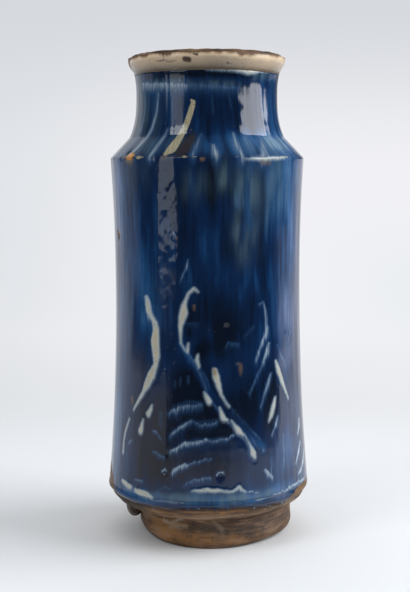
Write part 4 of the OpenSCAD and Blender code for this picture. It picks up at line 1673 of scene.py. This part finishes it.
# %% Sweep
ROOM_DARK = (0.05, 0.05, 0.055, 1)
SWEEP_TONE = shade(234, 236, 238)
# Glowing tones of the sweep; the left and top ones are darker as painted shade.
WALL_LEFT = shade(225, 228, 232)
WALL_MIDDLE = shade(241, 241, 245)
WALL_TOP = shade(214, 217, 222)
FLOOR_LEFT = shade(212, 216, 219)
FLOOR_MIDDLE = shade(232, 234, 238)
WINDOW_FLOOR = shade(236, 239, 242)
TABLE_FRONT = 0.585
TABLE_SIDE = 1.0
TABLE_TURN = math.radians(23)
TABLE_SPREAD = math.radians(70)
TABLE_DIM = 0.38
EDGE_SOFT = 0.01
CORNER_X = 0.42
CORNER_RUN = 0.08
CORNER_CUT = 0.12
WALL_RIGHT = 0.55
WALL_LOW = 0.2
WALL_SOFT = 0.15
SWEEP_HALF = 1.6
SWEEP_FRONT = -1.2
SWEEP_BACK = 1.15
SWEEP_BEND = 0.45
SWEEP_TOP = 2.0


def glowing(tree, colour):
    """A plain tone that needs no lamp."""
    return add(tree, "ShaderNodeEmission", {0: colour, 1: 1.0}).outputs[0]


def blend(tree, share, first, second):
    """Two shaders mixed by a share."""
    return add(tree, "ShaderNodeMixShader", {0: share, 1: first, 2: second}).outputs[0]


def graded_sweep(tree, axes, lit, camera_ray):
    """Lit paper round the jar, glowing painted tones farther back, and a plain floor near the window."""
    # Painted shade: the glowing tones darken to the left and near the top, and the floor's left tone is a
    # painted shadow.
    sideways = fade(tree, axes["X"], -0.45, 0.0, 0.0, 1.0)
    wall = lay(tree, sideways, WALL_LEFT, WALL_MIDDLE)
    wall = lay(tree, fade(tree, axes["Z"], 0.22, 0.58, 0.0, 1.0), wall, WALL_TOP)
    near_floor = lay(tree, sideways, FLOOR_LEFT, FLOOR_MIDDLE)
    colour = lay(tree, fade(tree, axes["Y"], 0.3, 1.0, 0.0, 1.0), near_floor, wall)
    away = fade(tree, axes["Y"], 0.06, 0.45, 0.0, 1.0)
    mixed = blend(tree, away, lit, glowing(tree, colour))
    by_window = times(tree, camera_ray, fade(tree, axes["X"], 0.1, 0.4, 0.0, 1.0))
    by_window = times(tree, by_window, fade(tree, axes["Z"], 0.02, 0.2))
    return blend(tree, by_window, mixed, glowing(tree, WINDOW_FLOOR))


def past_table(tree, place, axes):
    """Where a reflection sees past the table's edge or beside the backdrop, and how far it is dimmed."""
    flat = vectors(tree, "MULTIPLY", place, (1, 1, 0))
    far = add(tree, "ShaderNodeVectorMath", {0: flat}, operation="LENGTH").outputs["Value"]
    facing = (math.sin(TABLE_TURN), -math.cos(TABLE_TURN), 0)
    feeds = {0: vectors(tree, "NORMALIZE", flat, (0, 0, 0)), 1: facing}
    faced = add(tree, "ShaderNodeVectorMath", feeds, operation="DOT_PRODUCT").outputs["Value"]
    ends = math.cos(TABLE_SPREAD)
    reach = fade(tree, faced, ends - EDGE_SOFT, ends + EDGE_SOFT, TABLE_SIDE, TABLE_FRONT)
    corner = fade(tree, axes["X"], CORNER_X, CORNER_X + CORNER_RUN, 0.0, CORNER_CUT)
    corner = times(tree, corner, fade(tree, faced, 0.4, 0.42, 0.0, 1.0))
    reach = sums(tree, "SUBTRACT", reach, corner)
    past = fade(tree, sums(tree, "SUBTRACT", far, reach), -EDGE_SOFT, EDGE_SOFT, 0.0, 1.0)
    past = times(tree, past, fade(tree, axes["Y"], 0.2, 0.3))
    beside = fade(tree, axes["X"], WALL_RIGHT, WALL_RIGHT + WALL_SOFT, 0.0, 1.0)
    above = fade(tree, axes["Z"], WALL_LOW, WALL_LOW + WALL_SOFT, 0.0, 1.0)
    past = sums(tree, "MAXIMUM", past, times(tree, beside, above))
    dimmed = fade(tree, axes["X"], 0.0, 0.35, TABLE_DIM, 0.1)
    dimmed = times(tree, fade(tree, axes["Y"], -0.15, 0.1), dimmed)
    return sums(tree, "MAXIMUM", past, dimmed)


def sweep_material():
    """Pale matt paper that ends in a dark edge where the glaze mirrors it."""
    material, tree, place, shader = new_material("pale_sweep")
    shader.inputs["Base Color"].default_value = SWEEP_TONE
    shader.inputs["Roughness"].default_value = 0.9
    shader.inputs["Specular IOR Level"].default_value = 0.1
    axes = add(tree, "ShaderNodeSeparateXYZ", {0: place}).outputs
    light_path = add(tree, "ShaderNodeLightPath").outputs
    mixed = graded_sweep(tree, axes, shader.outputs[0], light_path["Is Camera Ray"])
    beyond = times(tree, past_table(tree, place, axes), light_path["Is Glossy Ray"])
    mixed = blend(tree, beyond, mixed, glowing(tree, ROOM_DARK))
    out = next(n for n in tree.nodes if n.type == "OUTPUT_MATERIAL")
    tree.links.new(mixed, out.inputs["Surface"])
    return material


sweep_line = [(y, 0.0) for y in np.linspace(SWEEP_FRONT, SWEEP_BACK, 12)]
sweep_line += [
    (SWEEP_BACK + SWEEP_BEND * math.sin(a), SWEEP_BEND * (1 - math.cos(a)))
    for a in np.linspace(0, math.pi / 2, 16)[1:]
]
sweep_line += [(SWEEP_BACK + SWEEP_BEND, SWEEP_TOP)]
sweep_mesh = bpy.data.meshes.new("sweep")
left = [(-SWEEP_HALF, y, z) for y, z in sweep_line]
right = [(SWEEP_HALF, y, z) for y, z in sweep_line]
count = len(sweep_line)
faces = [(i, count + i, count + i + 1, i + 1) for i in range(count - 1)]
sweep_mesh.from_pydata(left + right, [], faces)
sweep_mesh.shade_smooth()
sweep_mesh.materials.append(sweep_material())
sweep = bpy.data.objects.new("sweep", sweep_mesh)
scene.collection.objects.link(sweep)
print("sweep has", len(faces), "faces")


# %% Lamps
def panel(name, bearing_deg, distance, wide, tall, centre_z, radiance, colour=(1, 1, 1)):
    """A soft panel that faces the jar from a bearing, at so much light per area."""
    data = bpy.data.lights.new(name, "AREA")
    data.shape = "RECTANGLE"
    data.size = wide
    data.size_y = tall
    data.energy = radiance * math.pi * wide * tall
    data.color = colour
    lamp = bpy.data.objects.new(name, data)
    turn = math.radians(bearing_deg)
    lamp.location = (distance * math.sin(turn), -distance * math.cos(turn), centre_z)
    lamp.rotation_euler = (math.pi / 2, 0, turn)
    scene.collection.objects.link(lamp)
    return lamp


WINDOW_BEARING = 84
WINDOW_AWAY = 1.3
LEFT_AWAY = 1.2
panel(
    "window", WINDOW_BEARING, WINDOW_AWAY,
    wide=1.6, tall=1.2, centre_z=0.88, radiance=5.8, colour=(0.96, 0.98, 1.0),
)
panel(
    "left_panel", -49, LEFT_AWAY,
    wide=0.48, tall=0.93, centre_z=0.535, radiance=1.5, colour=(0.9, 0.96, 1.0),
)
panel(
    "left_lamp", -49.5, LEFT_AWAY,
    wide=0.62, tall=0.5, centre_z=1.25, radiance=5.2, colour=(0.95, 0.98, 1.0),
)

# %% [markdown]
# ## The shape of the window
#
# A plain panel would mirror as a plain stripe. In the photograph the bright patch on the neck has a
# ragged edge, so points along that edge were read. Each one's ray is bounced off the neck to the
# panel, and a dark hedge with that opening stands just in front of the light.

# %% Hedge before the window
window_edge = (
    (268.5, 132), (267.5, 126.5), (265.5, 123.5), (267, 115.5), (266, 109), (265, 101.5), (263, 95.5),
    (261.5, 88), (258.5, 84.5), (254, 83), (249, 86.5), (246, 90), (243.5, 93), (239.5, 96.5),
    (240, 101.5), (243, 103.5), (245.5, 107.5), (241.5, 112.5), (242, 120), (244, 123.5), (240, 126),
    (239.5, 131),
)
HEDGE_HALF = 1.0
HEDGE_LOW = 0.1
HEDGE_HIGH = 1.6
HEDGE_GAP = 0.02


def mirrored_to(pixels, bearing, distance):
    """Where the neck's mirror image of these pixels lies on an upright plane that faces the jar."""
    rays = ray_of(pixels)
    rays /= np.linalg.norm(rays, axis=1)[:, None]
    at, level = onto_jar(pixels)
    out = np.stack([np.sin(at), -np.cos(at), np.zeros(len(at))], 1)
    spots = out * jar_radius(level)[:, None] + np.array([0, 0, 1]) * level[:, None]
    lean = (neck_r(level + mm) - neck_r(level - mm)) / (2 * mm)
    normals = out - np.array([0, 0, 1]) * lean[:, None]
    normals /= np.linalg.norm(normals, axis=1)[:, None]
    bounced = rays - 2 * (rays * normals).sum(1)[:, None] * normals
    facing = np.array([math.sin(bearing), -math.cos(bearing), 0])
    across = np.array([math.cos(bearing), math.sin(bearing), 0])
    far = (distance - spots @ facing) / (bounced @ facing)
    met = spots + bounced * far[:, None]
    return list(zip(met @ across, met[:, 2]))


turn = math.radians(WINDOW_BEARING)
near = WINDOW_AWAY - HEDGE_GAP
hedge_line = [(-HEDGE_HALF, HEDGE_LOW), (HEDGE_HALF, HEDGE_LOW), (HEDGE_HALF, HEDGE_HIGH)]
hedge_line += mirrored_to(np.array(window_edge, dtype=float), turn, near)
hedge_line += [(-HEDGE_HALF, HEDGE_HIGH)]
hedge_mesh = bpy.data.meshes.new("hedge")
hedge_spots = [
    (near * math.sin(turn) + u * math.cos(turn), -near * math.cos(turn) + u * math.sin(turn), z)
    for u, z in hedge_line
]
hedge_mesh.from_pydata(hedge_spots, [], [tuple(range(len(hedge_spots)))])
hedge_material, _, _, hedge_shader = new_material("hedge")
hedge_shader.inputs["Base Color"].default_value = ROOM_DARK
hedge_shader.inputs["Roughness"].default_value = 0.9
hedge_mesh.materials.append(hedge_material)
hedge = bpy.data.objects.new("hedge", hedge_mesh)
scene.collection.objects.link(hedge)
hedge.visible_camera = False
print("the hedge has", len(hedge_line), "corners")

# %% [markdown]
# ## The room
#
# For soft light, the world is pale behind the jar and bright overhead. Mirrored in the glaze, it is pale
# only behind the jar and low at the sides, and the camera sees one plain tone.

# %% Room
BACK_TONE = shade(232, 234, 240)
SIDE_TONE = shade(196, 200, 208)
SEEN_TONE = shade(226, 229, 233)
CEILING_TONE = (1.1, 1.1, 1.1, 1)
world = bpy.data.worlds.new("room")
scene.world = world
world.use_nodes = True
room = world.node_tree
room.nodes.clear()
direction = add(room, "ShaderNodeTexCoord").outputs["Generated"]
axes = add(room, "ShaderNodeSeparateXYZ", {0: direction}).outputs
light_path = add(room, "ShaderNodeLightPath").outputs
ceiling = fade(room, axes["Z"], 0.55, 0.92, 0.0, 1.0)
backdrop = fade(room, axes["Y"], 0.32, 0.88, 0.0, 1.0)
soft = lay(room, backdrop, ROOM_DARK, BACK_TONE)
soft = lay(room, ceiling, soft, CEILING_TONE)
to_left = times(room, backdrop, fade(room, axes["X"], 0.0, 0.25))
mirrored = lay(room, to_left, ROOM_DARK, BACK_TONE)
beside = times(room, fade(room, axes["Z"], -0.03, 0.0), fade(room, axes["Y"], -0.1, 0.3, 0.0, 1.0))
mirrored = lay(room, beside, mirrored, SIDE_TONE)
lit = lay(room, light_path["Is Glossy Ray"], soft, mirrored)
shown = lay(room, light_path["Is Camera Ray"], lit, SEEN_TONE)
background = add(room, "ShaderNodeBackground", {0: shown, 1: 1.0}).outputs[0]
add(room, "ShaderNodeOutputWorld", {"Surface": background})
print("the room has", len(room.nodes), "nodes")
